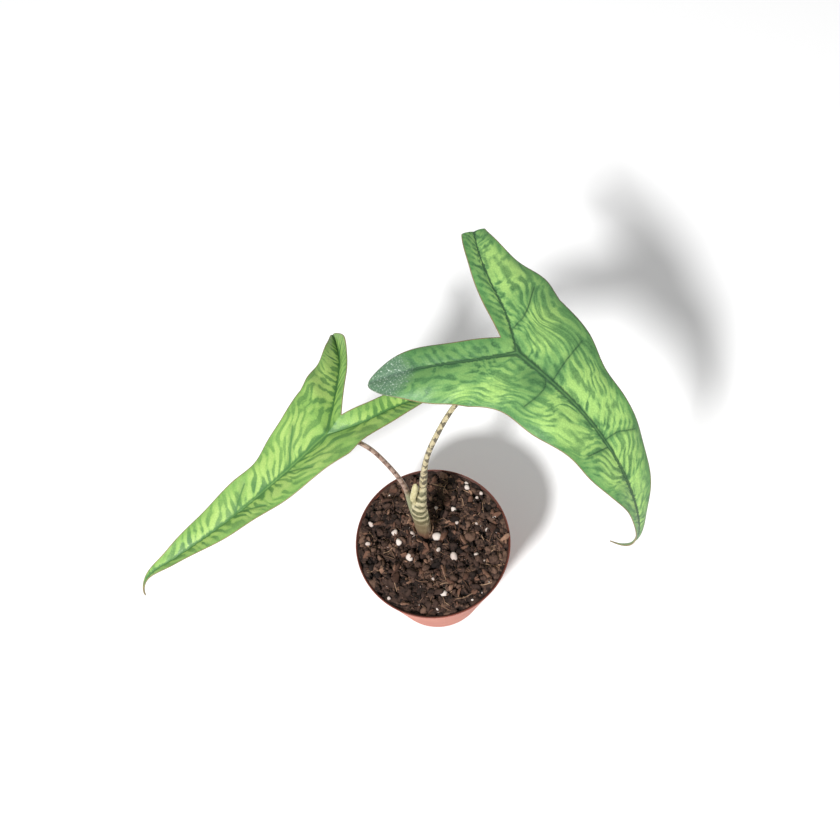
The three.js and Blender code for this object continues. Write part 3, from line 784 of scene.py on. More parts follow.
def leaf_grid(leaf):
    """All four grids as one: points on a rib are shared, and a quad is two triangles, laid alike."""
    places, numbers, faces, count = [], [], [], 0
    for side in SIDES:
        for flat, values in leaf_sheets(leaf, side):
            quads = grid_faces(*flat.shape[:2]) + count
            faces += [quads[:, [0, 1, 2]], quads[:, [0, 2, 3]]]
            places.append(flat.reshape(-1, 2))
            numbers.append({name: value.ravel() for name, value in values.items()})
            count += len(places[-1])
    places = np.concatenate(places)
    _, first, same = np.unique(places.round(3), axis=0, return_index=True, return_inverse=True)
    faces = same.ravel()[np.concatenate(faces)]
    a, b, c = faces.T
    faces = faces[(a != b) & (b != c) & (a != c)]
    flat = places[first]
    p, q, r = (flat[faces[:, k]] for k in range(3))
    area = (q[:, 0] - p[:, 0]) * (r[:, 1] - p[:, 1]) - (r[:, 0] - p[:, 0]) * (q[:, 1] - p[:, 1])
    faces = np.where(area[:, None] < 0, faces[:, ::-1], faces)
    joined = {name: np.concatenate([n[name] for n in numbers])[first] for name in numbers[0]}
    return flat, joined, faces


print("rings out to the edge:", len(shares(RIGHT_LEAF["steps"][2])))

# %% [markdown]
# ## Leaves: relief and thickness
# The upper face has the midrib as a low rounded cord, side veins that lie in shallow grooves and a
# soft swelling between the bands. The lower face is the same sheet a fraction of a millimetre down,
# where the ribs stand out as keels. A Solidify modifier gives a sheet its thickness, but no keels on one
# side alone, so each point is moved along the sheet's own normal, up for one face, down for the other.

# %% Leaf surface
HALF_THICK = 0.26
HALF_AT_MARGIN = 0.14
FULL_RELIEF = 20.0
LATERAL_SPACING = 27.0
QUILT_HEIGHT = 1.3
WAVE_LENGTH = 46.0
MARGIN_WAVE = 1.2
BAND = 4.6
BAND_RELIEF = 0.05
# Height or depth of a form, and how far it spreads
GROOVE = (0.3, 1.1)
LATERAL_KEEL = (0.45, 0.9)
KEEL_SPREAD = 2.4
# A rib's cord: its height, its least width, and the width that a stout rib adds to that
CORD_HEIGHT, CORD_LEAST, CORD_MORE = 0.55, 0.35, 1.3
# The hollow beside it: its depth, and its width as so many times the cord's
HOLLOW_DEPTH, HOLLOW_WIDTH = 0.25, 2.6
# The smooth random fields that bend the bands: size and strength
STRAY_FIELDS = ((34, 0.75), (13, 0.3))
RUNG_CALM = 0.75
CARRIED = ("phase", "away", "rib", "lateral", "margin", "bright", "stout", "inner")


def leaf_piece(name, leaf, laterals, bright, wander, finishes, slot, node):
    """laterals are the side veins and bright the patches (x, y, size, how light), both flat; wander is
    how far the bands stray and its seed. Round a hub the bands turn into circles."""
    flat, n, faces = leaf_grid(leaf)
    stray, seed = wander
    stray = stray * (1 - RUNG_CALM * n["inner"] * smooth_step(n["away"], 0, 3))
    bent = sum(strength * ripple(flat, size, seed + k) for k, (size, strength) in enumerate(STRAY_FIELDS))
    n["phase"] = n["phase"] + stray * bent
    for x, y, reach in leaf["hubs"]:
        off = np.linalg.norm(flat - (x, y), axis=1)
        circles = n["phase"][np.argmin(off)] + off
        n["phase"] = between(n["phase"], circles, hump(off, reach))
    n["lateral"] = distance_to(flat, [fine_line(rows, 14) for rows in laterals])
    midrib = np.array([(0.0, 0.0), (leaf["length"], 0.0)])
    n["rib"] = distance_to(flat, [midrib, *(fine_line(leaf[side + "_rib"], 24) for side in SIDES)])
    n["margin"] = distance_to(flat, [fine_line(leaf[side], 160) for side in SIDES])
    glow = sum(light * hump(np.linalg.norm(flat - (x, y), axis=1), size) for x, y, size, light in bright)
    n["bright"] = np.clip(glow, -1, 1)

    arch = leaf["fold"] * n["away"] - n["away"] ** 2 / (2 * leaf["arch_radius"])
    swell = QUILT_HEIGHT * np.sin(np.pi * n["along"] / LATERAL_SPACING) ** 2 * np.sin(np.pi * n["share"])
    wave = MARGIN_WAVE * n["share"] ** 3 * np.sin(2 * np.pi * n["along"] / WAVE_LENGTH)
    bands = BAND_RELIEF * np.cos(2 * np.pi * n["phase"] / BAND) * smooth_step(n["margin"], 0, 6)
    groove = GROOVE[0] * hump(n["lateral"], GROOVE[1]) * smooth_step(n["margin"], 0, 5)
    width = CORD_LEAST + CORD_MORE * n["stout"]
    cord = CORD_HEIGHT * n["stout"] * hump(n["rib"], width)
    hollow = HOLLOW_DEPTH * hump(n["rib"], HOLLOW_WIDTH * width)
    rise = arch + (swell + wave) * np.minimum(n["away"] / FULL_RELIEF, 1) + bands - groove + cord - hollow
    middle = leaf_placer(leaf)(flat[:, 0], flat[:, 1], rise)

    normals = np.zeros_like(middle)
    a, b, c = (middle[faces[:, k]] for k in range(3))
    for k in range(3):
        np.add.at(normals, faces[:, k], np.cross(b - a, c - a))
    normals = unit(normals)
    half = between(HALF_AT_MARGIN, HALF_THICK, smooth_step(n["margin"], 0, 3))
    keel = n["keel"] * hump(n["away"], KEEL_SPREAD)
    keel = keel + LATERAL_KEEL[0] * hump(n["lateral"], LATERAL_KEEL[1]) * smooth_step(n["margin"], 0, 8)
    points = np.concatenate([middle + normals * half[:, None], middle - normals * (half + keel)[:, None]])
    count = len(flat)
    edges = np.concatenate([faces[:, [0, 1]], faces[:, [1, 2]], faces[:, [2, 0]]])
    forward, backward = edges[:, 0] * count + edges[:, 1], edges[:, 1] * count + edges[:, 0]
    start, end = edges[~np.isin(forward, backward)].T
    strip = np.concatenate([
        np.stack([end, start, start + count], -1),
        np.stack([end, start + count, end + count], -1),
    ])
    lower = np.repeat([0, 1, 0], [len(faces), len(faces), len(strip)])
    kept = {key: np.tile(n[key], 2) for key in CARRIED}
    everything = [np.concatenate([faces, faces[:, ::-1] + count, strip])]
    return make_piece(name, points, everything, finishes, slot, np.tile(flat, (2, 1)), kept, lower, [node])


print("a leaf is", 2 * HALF_THICK, "mm thick, and", 2 * HALF_AT_MARGIN, "mm at its margin")

# %% [markdown]
# ## Leaves: the finish
# The colour is built up as the eye reads the leaf: a mid green ground, lime streaks that are strongest
# in the light patches, dark streaks that are strongest beside the ribs, thin dark veins, a darker
# border and a fine pinkish edge. The streaks are noise whose place is (phase, away), so that they run
# along the bands and break off as the real ones do. A painted picture could hold the same pattern, but
# it would blur close up. The same recipe, paler, makes the lower face. A last mask lays a chalky
# residue, such as dried droplets leave, on one lobe.

# %% Leaf finish
THREAD = {"Width": 1.1, "Length": 3.0, "Layer": 7.0}
LIGHT_FROM, DARK_FROM = 0.545, 0.435
EDGE_COLOUR = (150, 112, 84)
CHALKY_GROUND, CHALK = (66, 102, 78), (205, 222, 205)


def leaf_finish(name, colours, strength, streak, rib, chalk=None, gloss=0.47):
    """colours are the ground, lime, dark, vein and border. strength is how dark the streaks get and
    streak their width, their length, how much of the leaf is lime, how even they are and how soft
    their edges are. rib is the least width of a rib's dark line, chalk the residue's flat place and
    reach."""
    finish, tree, shader = new_finish(name)
    ground, lime, dark, vein, border = colours
    flat = put(tree, "ShaderNodeUVMap", uv_map="flat")
    phase, away, off_rib, lateral, margin, bright, stout, inner = (attribute(tree, key) for key in CARRIED)
    cloud = noise(flat, 5.0, 3, 0.5)
    fleck = noise(flat, 28.0, 4, 0.6)
    patch = bright + (cloud * 1.6 - 0.8)
    colour = blend(patch.ramp(0.1, 1.0, 0.0, 0.5), ground, lime)

    width, length, share, even, soft = streak
    lines = {"Across": phase, "Along": away}
    broad = use(tree, streaks, {**lines, "Width": width, "Length": length, "Layer": inner})["Value"]
    fine = use(tree, streaks, {**lines, **THREAD})["Value"]
    rungs = (phase * (2 * math.pi / BAND)).calc("COSINE") * (inner * 0.05 + even)
    value = fine * 0.16 + (share - 0.58) + (broad + rungs) + (fleck * 0.26 - 0.13)
    pale = value.ramp(LIGHT_FROM - soft, LIGHT_FROM + soft)
    colour = blend(pale * patch.ramp(-0.1, 0.7, 0.3, 1.0), colour, lime)
    amount = off_rib.ramp(1.0, 14.0, 1.0, 0.65) * cloud.ramp(0.3, 0.65, strength, 0.6 * strength)
    streaky = value.ramp(DARK_FROM + soft, DARK_FROM - soft) * amount
    colour = blend(streaky, colour, dark)
    colour = blend(bright.ramp(-0.1, -1.0, 0.0, 0.55), colour, dark)

    colour = blend((cloud * -6.0 + margin).ramp(-2.5, 3.0, 0.7, 0.0), colour, border)
    colour = blend(lateral.ramp(0.3, 3.0, 0.4, 0.0), colour, dark)
    colour = blend(lateral.ramp(0.15, 0.7, 0.8, 0.0), colour, vein)
    rib_width = stout * 1.25 + rib
    frayed = off_rib + (fine * -2.0 + 1.0)
    colour = blend((frayed / rib_width).ramp(0.7, 1.6, 0.92, 0.0), colour, vein)
    # Painted highlight: the crest of each stout rib turns back towards the ground colour, a lighter line
    # down its middle.
    back = (off_rib / rib_width).ramp(0.1, 0.5, 1.0, 0.0) * stout.ramp(0.2, 0.6, 0.0, 0.4)
    colour = blend(back, colour, ground)
    colour = blend(margin.ramp(0.25, 0.65, 0.75, 0.0), colour, EDGE_COLOUR)
    cells = put(tree, "ShaderNodeTexVoronoi", {"Vector": flat, "Scale": 75.0}, feature="DISTANCE_TO_EDGE")
    colour = blend(cells.ramp(0.0, 0.14, 0.55, 0.0) * (streaky * 0.8 + 0.35), colour, vein)
    rough = fleck * 0.25 + (gloss - 0.12)
    if chalk is not None:
        x, y, reach = (value / UV_SCALE for value in chalk)
        off = put(tree, "ShaderNodeVectorMath", {0: flat, 1: (x, y, 0.0)}, "Value", operation="DISTANCE")
        near = (cloud * 0.1 + off).ramp(reach, reach + 0.1, 1.0, 0.0)
        crumbs = noise(flat, 90.0, 4, 0.75).ramp(0.52, 0.68)
        film = near * (crumbs * 0.75 + 0.05)
        colour = blend(near * 0.75, colour, CHALKY_GROUND)
        colour = blend(film, colour, CHALK)
        rough = film * 0.4 + rough
    relief = bump(cells.ramp(0.0, 0.3) * 0.5 + fleck, 0.00012, 0.7)
    plug(shader, {"Base Color": colour, "Roughness": rough, "Specular IOR Level": 0.42, "Normal": relief})
    return finish


print("each point of a leaf carries:", ", ".join(CARRIED))

# %% [markdown]
# The right leaf is mid green with lime patches, and its right lobe, the left one in the reference view,
# ends in a dull, chalky tip. The side veins and the light patches lie where they lie on the real leaf.
# They could be painted on, but a few flat places are easier to move, and the grooves move with them.

# %% Right leaf
RIGHT_LATERALS = [
    [(23, 0.5), (21, 10), (20, 17), (19, 29)],
    [(64, 0.5), (65, 8), (68, 13), (71, 18)],
    [(19, -0.5), (22, -4), (23, -10), (22, -20)],
    [(68, -0.5), (66, -5), (63, -13)],
    [(-11, 8), (-11, 16), (-13, 23), (-16, 29), (-19, 35)],
]
RIGHT_BRIGHT = [
    (6, 12, 9, 0.8), (-4, 24, 8, 1), (32, 13, 10, 0.8), (40, 9, 8, 1), (54, 11, 9, 1), (-30, 30, 9, 1),
    (-48, 38, 9, 1), (5, -24, 9, 1), (-7, -39, 7, 1), (38, -14, 9, 1), (52, -12, 8, 1), (78, 6, 10, 1),
    (80, -5, 9, 1), (100, 3, 9, 1), (124, 0, 12, 1), (146, 0, 12, 1), (-24, -45, 12, -0.5),
    (-46, -54, 15, -1), (-24, -28, 11, -0.7), (-14, -12, 9, -0.7), (18, 3, 10, -0.7), (14, -8, 8, -0.6),
    (-40, -36, 9, -0.8),
]
right_upper = leaf_finish(
    "right_leaf_upper", [(108, 158, 90), (164, 206, 114), (58, 106, 62), (42, 80, 48), (84, 138, 76)],
    0.86, (4.2, 4.4, 0.515, 0.05, 0.075), 0.45, chalk=(-46, -56, 15.0),
)
right_lower = leaf_finish(
    "right_leaf_lower", [(142, 176, 122), (168, 198, 136), (108, 146, 96), (120, 156, 104), (122, 158, 108)],
    0.6, (4.2, 4.4, 0.5, 0.055, 0.075), 0.4, gloss=0.55,
)
leaf_piece(
    "right_leaf", RIGHT_LEAF, RIGHT_LATERALS, RIGHT_BRIGHT, (3.2, 11), [right_upper, right_lower],
    "leaf_mid_green", "blade_right",
)

# %% [markdown]
# The left leaf is younger and lighter: a lime ground with broken dark streaks in a herringbone. A copy
# of the right leaf in other colours would have the wrong outline, droop and streaks, so the same
# functions are called with other values.

# %% Left leaf
LEFT_LATERALS = [
    [(30, 0.5), (22, 8), (16, 15)],
    [(62, 0.5), (54, 7), (48, 12)],
    [(28, -0.5), (20, -8), (12, -16)],
    [(66, -0.5), (58, -6), (52, -10)],
]
LEFT_BRIGHT = [
    (10, 12, 10, 1), (36, 9, 10, 1), (58, 6, 9, 1), (-20, 14, 9, 1), (14, -12, 10, 1), (40, -8, 10, 1),
    (74, -5, 9, 1), (-12, -30, 12, 1), (-24, -46, 12, 1), (-40, -62, 12, 1), (92, 3, 9, 1),
    (-45, 12, 8, 1), (110, -1, 8, 1), (32, 19, 7, -0.8), (-4, 0, 8, -0.8), (66, 11, 6, -0.8),
]
LEFT_STREAK = (5.0, 7.0, 0.49, 0.13, 0.045)
left_upper = leaf_finish(
    "left_leaf_upper", [(140, 184, 92), (170, 204, 110), (68, 118, 62), (74, 122, 64), (128, 172, 88)],
    0.95, LEFT_STREAK, 0.7,
)
left_lower = leaf_finish(
    "left_leaf_lower", [(152, 186, 118), (178, 206, 132), (116, 156, 92), (126, 160, 100), (132, 168, 104)],
    0.55, LEFT_STREAK, 0.7, gloss=0.55,
)
leaf_piece(
    "left_leaf", LEFT_LEAF, LEFT_LATERALS, LEFT_BRIGHT, (2.6, 23), [left_upper, left_lower],
    "leaf_lime_green", "blade_left",
)

# %% [markdown]
# ## Stem base, stalks and shoot
# The stem base is the sheathing foot of the leaf stalks, wrapped round itself, so its section is a
# slow spiral with one overlapping edge. It narrows upwards onto the right stalk, while the left stalk
# and the pale sheath of the next leaf leave it lower down. A bevelled curve could make a stalk, but
# not the wrap. Here all are rings of points round a smooth centre line. Each point carries `skin`, its
# place on the round stem as (cosine, sine, way along), and the dark bars are drawn on that.

# %% Stem shapes
# Rows of height, centre x, centre y, long and short half-width
STEM_BASE = [
    (78, -4.9, 7.4, 3.0, 2.6), (86, -4.9, 7.2, 4.4, 3.8), (94, -5.0, 7.1, 5.4, 4.6),
    (106, -5.5, 7.3, 5.8, 4.8), (120, -5.9, 7.7, 5.9, 4.6), (130, -6.2, 7.8, 5.8, 4.4),
    (138, -6.0, 7.6, 5.3, 4.2), (146, -5.0, 7.4, 4.5, 3.7), (154, -4.0, 7.6, 3.8, 3.1),
    (162, -3.0, 8.0, 3.1, 2.8), (169, -1.9, 8.5, 2.65, 2.6),
]
STEM_BASE_TURN = math.radians(150)
# The centre line from the foot in the sheath up to the leaf, and the radius at each point and seat
RIGHT_STALK = {
    "line": [
        (-4.6, 7.2, 112), (-4.1, 6.9, 126), (-3.7, 6.9, 138.4), (-2.8, 7.7, 154), (-1.6, 8.6, 171),
        (1.8, 10.8, 199), (8.3, 14.4, 219), (19.3, 21.3, 237.5), (34, 29.6, 247.5), (46, 35.8, 250),
    ],
    "radii": (2.8, 2.7, 2.6, 2.55, 2.4, 1.65, 1.55, 1.4, 1.35, 1.3, 1.25, 1.0),
}
LEFT_STALK = {
    "line": [
        (-8.8, 9.0, 112), (-10.2, 9.8, 126), (-11.1, 10.3, 138.4), (-12.1, 10.7, 161),
        (-14.8, 11.8, 176), (-20.5, 14.4, 193), (-28.4, 19.0, 206), (-38.5, 23.0, 212.5),
    ],
    "radii": (1.9, 1.85, 1.75, 1.65, 1.5, 1.4, 1.35, 1.3, 1.3, 1.0),
}
SEATS = (2.0, 9.0)
# Rows of x, y, z and radius
SHOOT = [
    (-7.0, 7.4, 118, 1.4), (-7.0, 7.4, 130, 1.4), (-7.3, 7.3, 142, 1.4), (-8.2, 6.9, 151, 1.5),
    (-8.7, 5.9, 159, 2.0), (-7.5, 5.8, 167, 2.2), (-6.6, 6.2, 173, 2.0), (-6.2, 6.4, 176, 1.4),
    (-5.9, 6.5, 177.5, 0.7), (-5.9, 6.5, 178, 0.2),
]
print("stem base from", STEM_BASE[0][0], "to", STEM_BASE[-1][0], "mm up")

# %% Rings round a line


def tube(centres, radii, reference, sides):
    """Rings round a line of centres. Each ring lies across the line, its zero angle towards the
    reference direction: centre + radius (zero cosine + quarter sine). radii is one number per ring,
    or one per ring and side."""
    along = unit(np.gradient(centres, axis=0))
    zero = unit(reference - (along @ reference)[:, None] * along)
    cos, sin = around(turns(sides)).T[..., None]
    out = zero[:, None] * cos + np.cross(along, zero)[:, None] * sin
    radii = np.broadcast_to(radii.reshape(len(radii), -1), out.shape[:2])
    return centres[:, None] + out * radii[..., None]


def skin_of(centres, sides):
    """(cosine, sine, millimetres along) for each point of the rings and for the two end centres."""
    steps = np.linalg.norm(np.diff(centres, axis=0), axis=1)
    along = np.concatenate([[0], np.cumsum(steps)])
    rings = np.broadcast_to(around(turns(sides)), (len(along), sides, 2))
    skin = at_height(rings, along[:, None]).reshape(-1, 3)
    return np.concatenate([skin, [(0, 0, along[0]), (0, 0, along[-1])]])


def stem_piece(name, centres, radii, reference, sides, finish, slot, node, reshape=None):
    """Rings round a line, with their skin. reshape changes the rings before they are closed."""
    rings = tube(centres, radii, np.array(reference, float), sides)
    if reshape is not None:
        rings = reshape(rings)
    points, faces = closed_rings(rings)
    fields = {"skin": skin_of(centres, sides)}
    return make_piece(name, points, faces, [finish], slot, fields=fields, replaces=[node])


def stalk_line(stalk, leaf, steps):
    """The stalk's centre line and radii, up to its seat under the junction of the ribs, which it
    grows into."""
    place = leaf_placer(leaf)
    seat = [place(np.array(x), np.array(0.0), np.array(-0.6 - 0.5 * leaf["keel"][0])) for x in SEATS]
    return fine_line(np.concatenate([stalk["line"], seat]), steps), fine_line(stalk["radii"], steps)


for stalk, leaf in ((RIGHT_STALK, RIGHT_LEAF), (LEFT_STALK, LEFT_LEAF)):
    print("a stalk ends at", stalk_line(stalk, leaf, 2)[0][-1].round(1), "mm")

# %% [markdown]
# ## Finishes of the stems
# The stalks are cream with dark blotches on one side or the other, broken and uneven. A wave along
# the stalk, shifted by noise, spaces the blotches, and a second noise breaks them up. A Wave Texture
# could draw bars too, but as whole rings. The same recipe with other colours makes the browner left
# stalk, the nearly plain shoot and the sheath, where the blotches are soft cream patches on grey-green.

# %% Stem finish


def stem_finish(name, colours, spacing, cover, stray=5.0, soft=0.12, ring=0.0, ends=()):
    """colours are the ground, its tint and the bars. spacing is the distance of the bars, cover how
    much they cover, stray how far they shift, soft how soft their edges are, ring how far they go all
    the way round. They are fullest in front and behind, where the skin's cosine is near 1 or -1. Each
    of ends is a colour and the two heights between which the stem turns to it."""
    finish, tree, shader = new_finish(name)
    ground, tint, bar = colours
    skin = attribute(tree, "skin", "Vector")
    facing, _, way = split(skin)
    wide = stretched(skin, (0.7, 0.7, 0.2))
    close = stretched(skin, (1.0, 1.0, 0.5))
    broken = noise(close, 1.0, 3, 0.6)
    bars = (way * (2 * math.pi / spacing) + noise(wide, 1.0, 2, 0.5) * stray).calc("COSINE")
    faced = facing.calc("ABSOLUTE").ramp(0.3, 0.85, 0.45, 1.0)
    patchy = (broken.ramp(0.34, 0.5) * faced).calc("MAXIMUM", ring)
    mask = ((bars * 0.5 + 0.5) * patchy).ramp(1 - cover, 1 - cover + soft, 0.0, 0.88)
    colour = blend(noise(wide, 2.5).ramp(0.4, 0.62), ground, tint)
    colour = blend(mask, colour, bar)
    _, _, height = split(object_place(tree))
    ragged = broken * -0.012 + height
    for turned, full, none in ends:
        colour = blend(ragged.ramp(full * MM, none * MM, 0.92, 0.0), colour, turned)
    values = {"Place": close, "Scale": 6.0, "Roughness": 0.46, "Spread": 0.3, "Depth": 0.00012}
    plug(shader, {"Base Color": colour, **use(tree, fine_grain, values)})
    return finish


cream = stem_finish("barred_cream", [(190, 178, 142), (158, 144, 112), (64, 56, 38)], 6.2, 0.74, 6.0, 0.16)
brown = stem_finish(
    "barred_brown", [(166, 142, 128), (146, 114, 100), (92, 66, 54)], 6.4, 0.6, 6.0, 0.3,
    ends=[((142, 144, 112), 146, 160)],
)
young = stem_finish("pale_sheath", [(200, 190, 148), (180, 172, 126), (152, 146, 104)], 15.0, 0.35, soft=0.6)
sheath_finish = stem_finish(
    "barred_sheath", [(116, 112, 82), (84, 82, 56), (194, 184, 148)], 8.4, 0.74, 5.0, 0.34, ring=0.62,
    ends=[((122, 106, 80), 106, 122), ((118, 84, 68), 90, 102)],
)
print("stem finishes:", [finish.name for finish in (cream, brown, young, sheath_finish)])

# %% [markdown]
# The section of the stem base is an oval that a spiral and fine creases draw in a little. Its upper
# end is a slanting, wavy mouth that lies close round the right stalk. It could be sculpted, but one
# radius for each ring and side keeps the overlapping edge even all the way up.

# %% Stem base
OVERLAP = 0.5
CREASE_DEPTH = 0.16
CREASE_STEP = 7.3
EDGE_ANGLE = math.radians(100)
EDGE_SLANT = 0.035
MOUTH_RISE = 2.0
MOUTH_ANGLE = math.radians(175)
MOUTH_CLOSING = np.array([[0.99], [0.94], [0.8]])


def oval(long_half, short_half, angle):
    """How far an oval reaches at an angle: a b / root of ((b cosine)^2 + (a sine)^2)."""
    return long_half * short_half / np.hypot(short_half * np.cos(angle), long_half * np.sin(angle))


def turn_share(angle):
    """How far round an angle is, from 0 to 1."""
    return angle % (2 * np.pi) / (2 * np.pi)


base_z, base_x, base_y, base_long, base_short = fine_line(STEM_BASE, 130).T[..., None]
base_angle = turns(96)
spiral = turn_share(base_angle - EDGE_ANGLE - EDGE_SLANT * (base_z - 90))
wrapped = smooth_step(base_z, 84, 96) * (1 - 0.8 * smooth_step(base_z, 140, 165))
creases = CREASE_DEPTH * np.sin(2 * np.pi * base_z / CREASE_STEP) * smooth_step(base_z, 108, 116)
base_radii = oval(base_long, base_short, base_angle) - (OVERLAP * spiral - creases) * wrapped
base_radii[-3:] *= MOUTH_CLOSING


def slant_mouth(rings):
    """Lifts the upper end of the sheath on one side, and lets its edge wave."""
    wave = np.cos(base_angle - MOUTH_ANGLE) + 0.3 * np.sin(3 * base_angle)
    lift = MOUTH_RISE * smooth_step(rings[..., 2], 158, 169) * wave
    return at_height(rings[..., :2], rings[..., 2] + lift)


stem_piece(
    "stem_sheath", np.concatenate([base_x, base_y, base_z], -1), base_radii,
    (*around(STEM_BASE_TURN), 0), 96, sheath_finish, "stem_sheath", "stem_base", slant_mouth,
)

# %% [markdown]
# The stalks are round, thin out upwards and bend over under their leaves. A Skin modifier could follow
# the same points, but each stalk has to end under its bent leaf. So its last two points come from the
# function that places the leaf.

# %% Stalks
line, radii = stalk_line(RIGHT_STALK, RIGHT_LEAF, 230)
stem_piece("right_stalk", line, radii, (0.61, -0.79, 0), 28, cream, "stalk_cream", "stalk_right")
line, radii = stalk_line(LEFT_STALK, LEFT_LEAF, 170)
stem_piece("left_stalk", line, radii, (0.37, -0.93, 0), 24, brown, "stalk_brown", "stalk_left")

# %% [markdown]
# The shoot is the sheath of the next leaf, rolled up tight, with a round top. A stretched ball could
# stand for it, but the edge of the roll shows as a low step. A radius that shrinks once round the shoot
# makes that step.

# %% Shoot
SHOOT_SIDES = 36
SHOOT_FOLD = 0.13
SHOOT_FOLD_ANGLE = math.radians(200)

shoot_rows = fine_line(SHOOT, 80)
shoot_radii = shoot_rows[:, 3:] * (1 - SHOOT_FOLD * turn_share(turns(SHOOT_SIDES) - SHOOT_FOLD_ANGLE))
stem_piece("shoot", shoot_rows[:, :3], shoot_radii, (1, 0, 0), SHOOT_SIDES, young, "shoot", "shoot_sheath")

# %% [markdown]
# ## Dry scale leaf at the foot
# The first small leaf of such a plant dries to a papery brown scale that still clasps the foot of the
# stem. It could be a copy of part of the stem's surface, but it stands off in waves of its own. So it
# is a thin sheet part of the way round, with a ragged upper edge: the outer face, and the same points
# moved a little inwards, joined round the edge.

# %% Scale leaf
SCALE_START, SCALE_END = math.radians(-60), math.radians(190)
SCALE_FOOT = 91.0
# Its height at the sides, and how much higher it is in the middle
SCALE_HEIGHT, SCALE_PEAK = 9.0, 8.0
SCALE_THICK = 0.25
# The size, seed and height of the rags in its upper edge
RAGS = ((0.5, 5, 1.1), (0.17, 6, 0.5))
# How far it stands off the stem, and what its upper edge and its fine creases add to that
STAND_OFF, EDGE_OFF, CREASE_OFF = 0.5, 1.1, 0.12


def thin_sheet(outer, inner):
    """Closes two grids of points into a thin solid: both faces, and a strip round the edge."""
    rows, columns = outer.shape[:2]
    faces = grid_faces(rows, columns)
    count = rows * columns
    index = np.arange(count).reshape(rows, columns)
    rim = np.concatenate([index[0], index[1:, -1], index[-1, -2::-1], index[-2:0:-1, 0]])
    after = np.roll(rim, -1)
    strip = np.stack([rim, rim + count, after + count, after], -1)
    points = np.concatenate([outer.reshape(-1, 3), inner.reshape(-1, 3)])
    return points, [np.concatenate([faces, faces[:, ::-1] + count, strip])]


turn_at = np.linspace(SCALE_START, SCALE_END, 90)
share_up = np.linspace(0, 1, 40)[:, None]
share_round = (turn_at - SCALE_START) / (SCALE_END - SCALE_START)
ragged = SCALE_HEIGHT + SCALE_PEAK * np.sin(np.pi * share_round) ** 2
for size, seed, far in RAGS:
    ragged = ragged + far * ripple(turn_at[:, None], size, seed)
scale_z = SCALE_FOOT + share_up * ragged
row_at = np.interp(scale_z, [row[0] for row in STEM_BASE], np.arange(len(STEM_BASE)))
rows = through(STEM_BASE, row_at)
wavy = 0.5 + 0.5 * np.sin(2.3 * turn_at + 1.0)
flare = STAND_OFF + EDGE_OFF * share_up ** 3 * wavy + CREASE_OFF * np.sin(22 * turn_at)
reach = oval(rows[..., 3], rows[..., 4], turn_at - STEM_BASE_TURN) + flare
scale_outer, scale_inner = (
    at_height(rows[..., 1:3] + (reach - depth)[..., None] * around(turn_at), scale_z)
    for depth in (0, SCALE_THICK)
)


def scale_finish():
    """Dry, fibrous brown with a reddish tinge, in streaks that run upwards."""
    finish, tree, shader = new_finish("dry_scale")
    place = object_place(tree)
    streak = noise(stretched(place, (1.0, 1.0, 0.12)), 900.0, 3, 0.6)
    colour = blend(streak.ramp(0.35, 0.65), (112, 82, 64), (172, 138, 110))
    blush = use(tree, speckle, {"Place": place, "Scale": 160.0, "Low": 0.5, "High": 0.68})["Mask"]
    colour = blend(blush * 0.55, colour, (150, 84, 76))
    plug(shader, {"Base Color": colour, "Roughness": 0.7, "Normal": bump(streak, 0.0002, 0.8)})
    return finish


make_piece("scale_leaf", *thin_sheet(scale_outer, scale_inner), [scale_finish()], "stem_sheath")

# %% [markdown]
# ## Potting mix
# The mix is a heap of crumbs of many sizes. A Displace modifier on a disc would give soft hills instead
# of crumbs. So the surface is the highest of many balls sunk at random depths, seen from above:
# height = max(foot + sqrt(r^2 - d^2)), with the distance d taken after a smooth shift of the place, so
# that no crumb is round. The number of the ball that is highest gives each crumb a tone of its own, and
# how deep a point lies gives painted shade, nearly black, between the crumbs.

# %% Soil surface
SOIL_TOP = 94.2
SOIL_EDGE = 50.9
SOIL_FOOT = 4.2
SOIL_FOOT_RADIUS = 33.6
SOIL_RINGS, SOIL_SIDES = 132, 372
CRUMBS = 1500
CRUMB_RADIUS = (1.0, 4.4)
# Smooth shifts of the place: their size, their seed and how far they go
CRUMB_SHIFTS = ((4.0, 50, 0.42), (1.3, 52, 0.16))
GAP_DEPTH = 4.6
# Tone of the floor between the crumbs: low, so that it shows as painted shade
GAP_SHADE_TONE = 0.1
EDGE_DROP, MIDDLE_DROP = 0.2, 1.2
EDGE_RELIEF = 0.35
SWELL_SIZE = 40.0
FUZZ_HEIGHT, FUZZ_SIZE = 0.1, 0.9

soil_rng = np.random.default_rng(41)
crumb_size = between(*CRUMB_RADIUS, soil_rng.random(CRUMBS) ** 2.6)
crumb_way = SOIL_EDGE * np.sqrt(soil_rng.random(CRUMBS))
crumb_place = crumb_way[:, None] * around(2 * np.pi * soil_rng.random(CRUMBS))
crumb_foot = SOIL_TOP - crumb_size * soil_rng.uniform(0.75, 1.5, CRUMBS)
crumb_tone = soil_rng.random(CRUMBS)


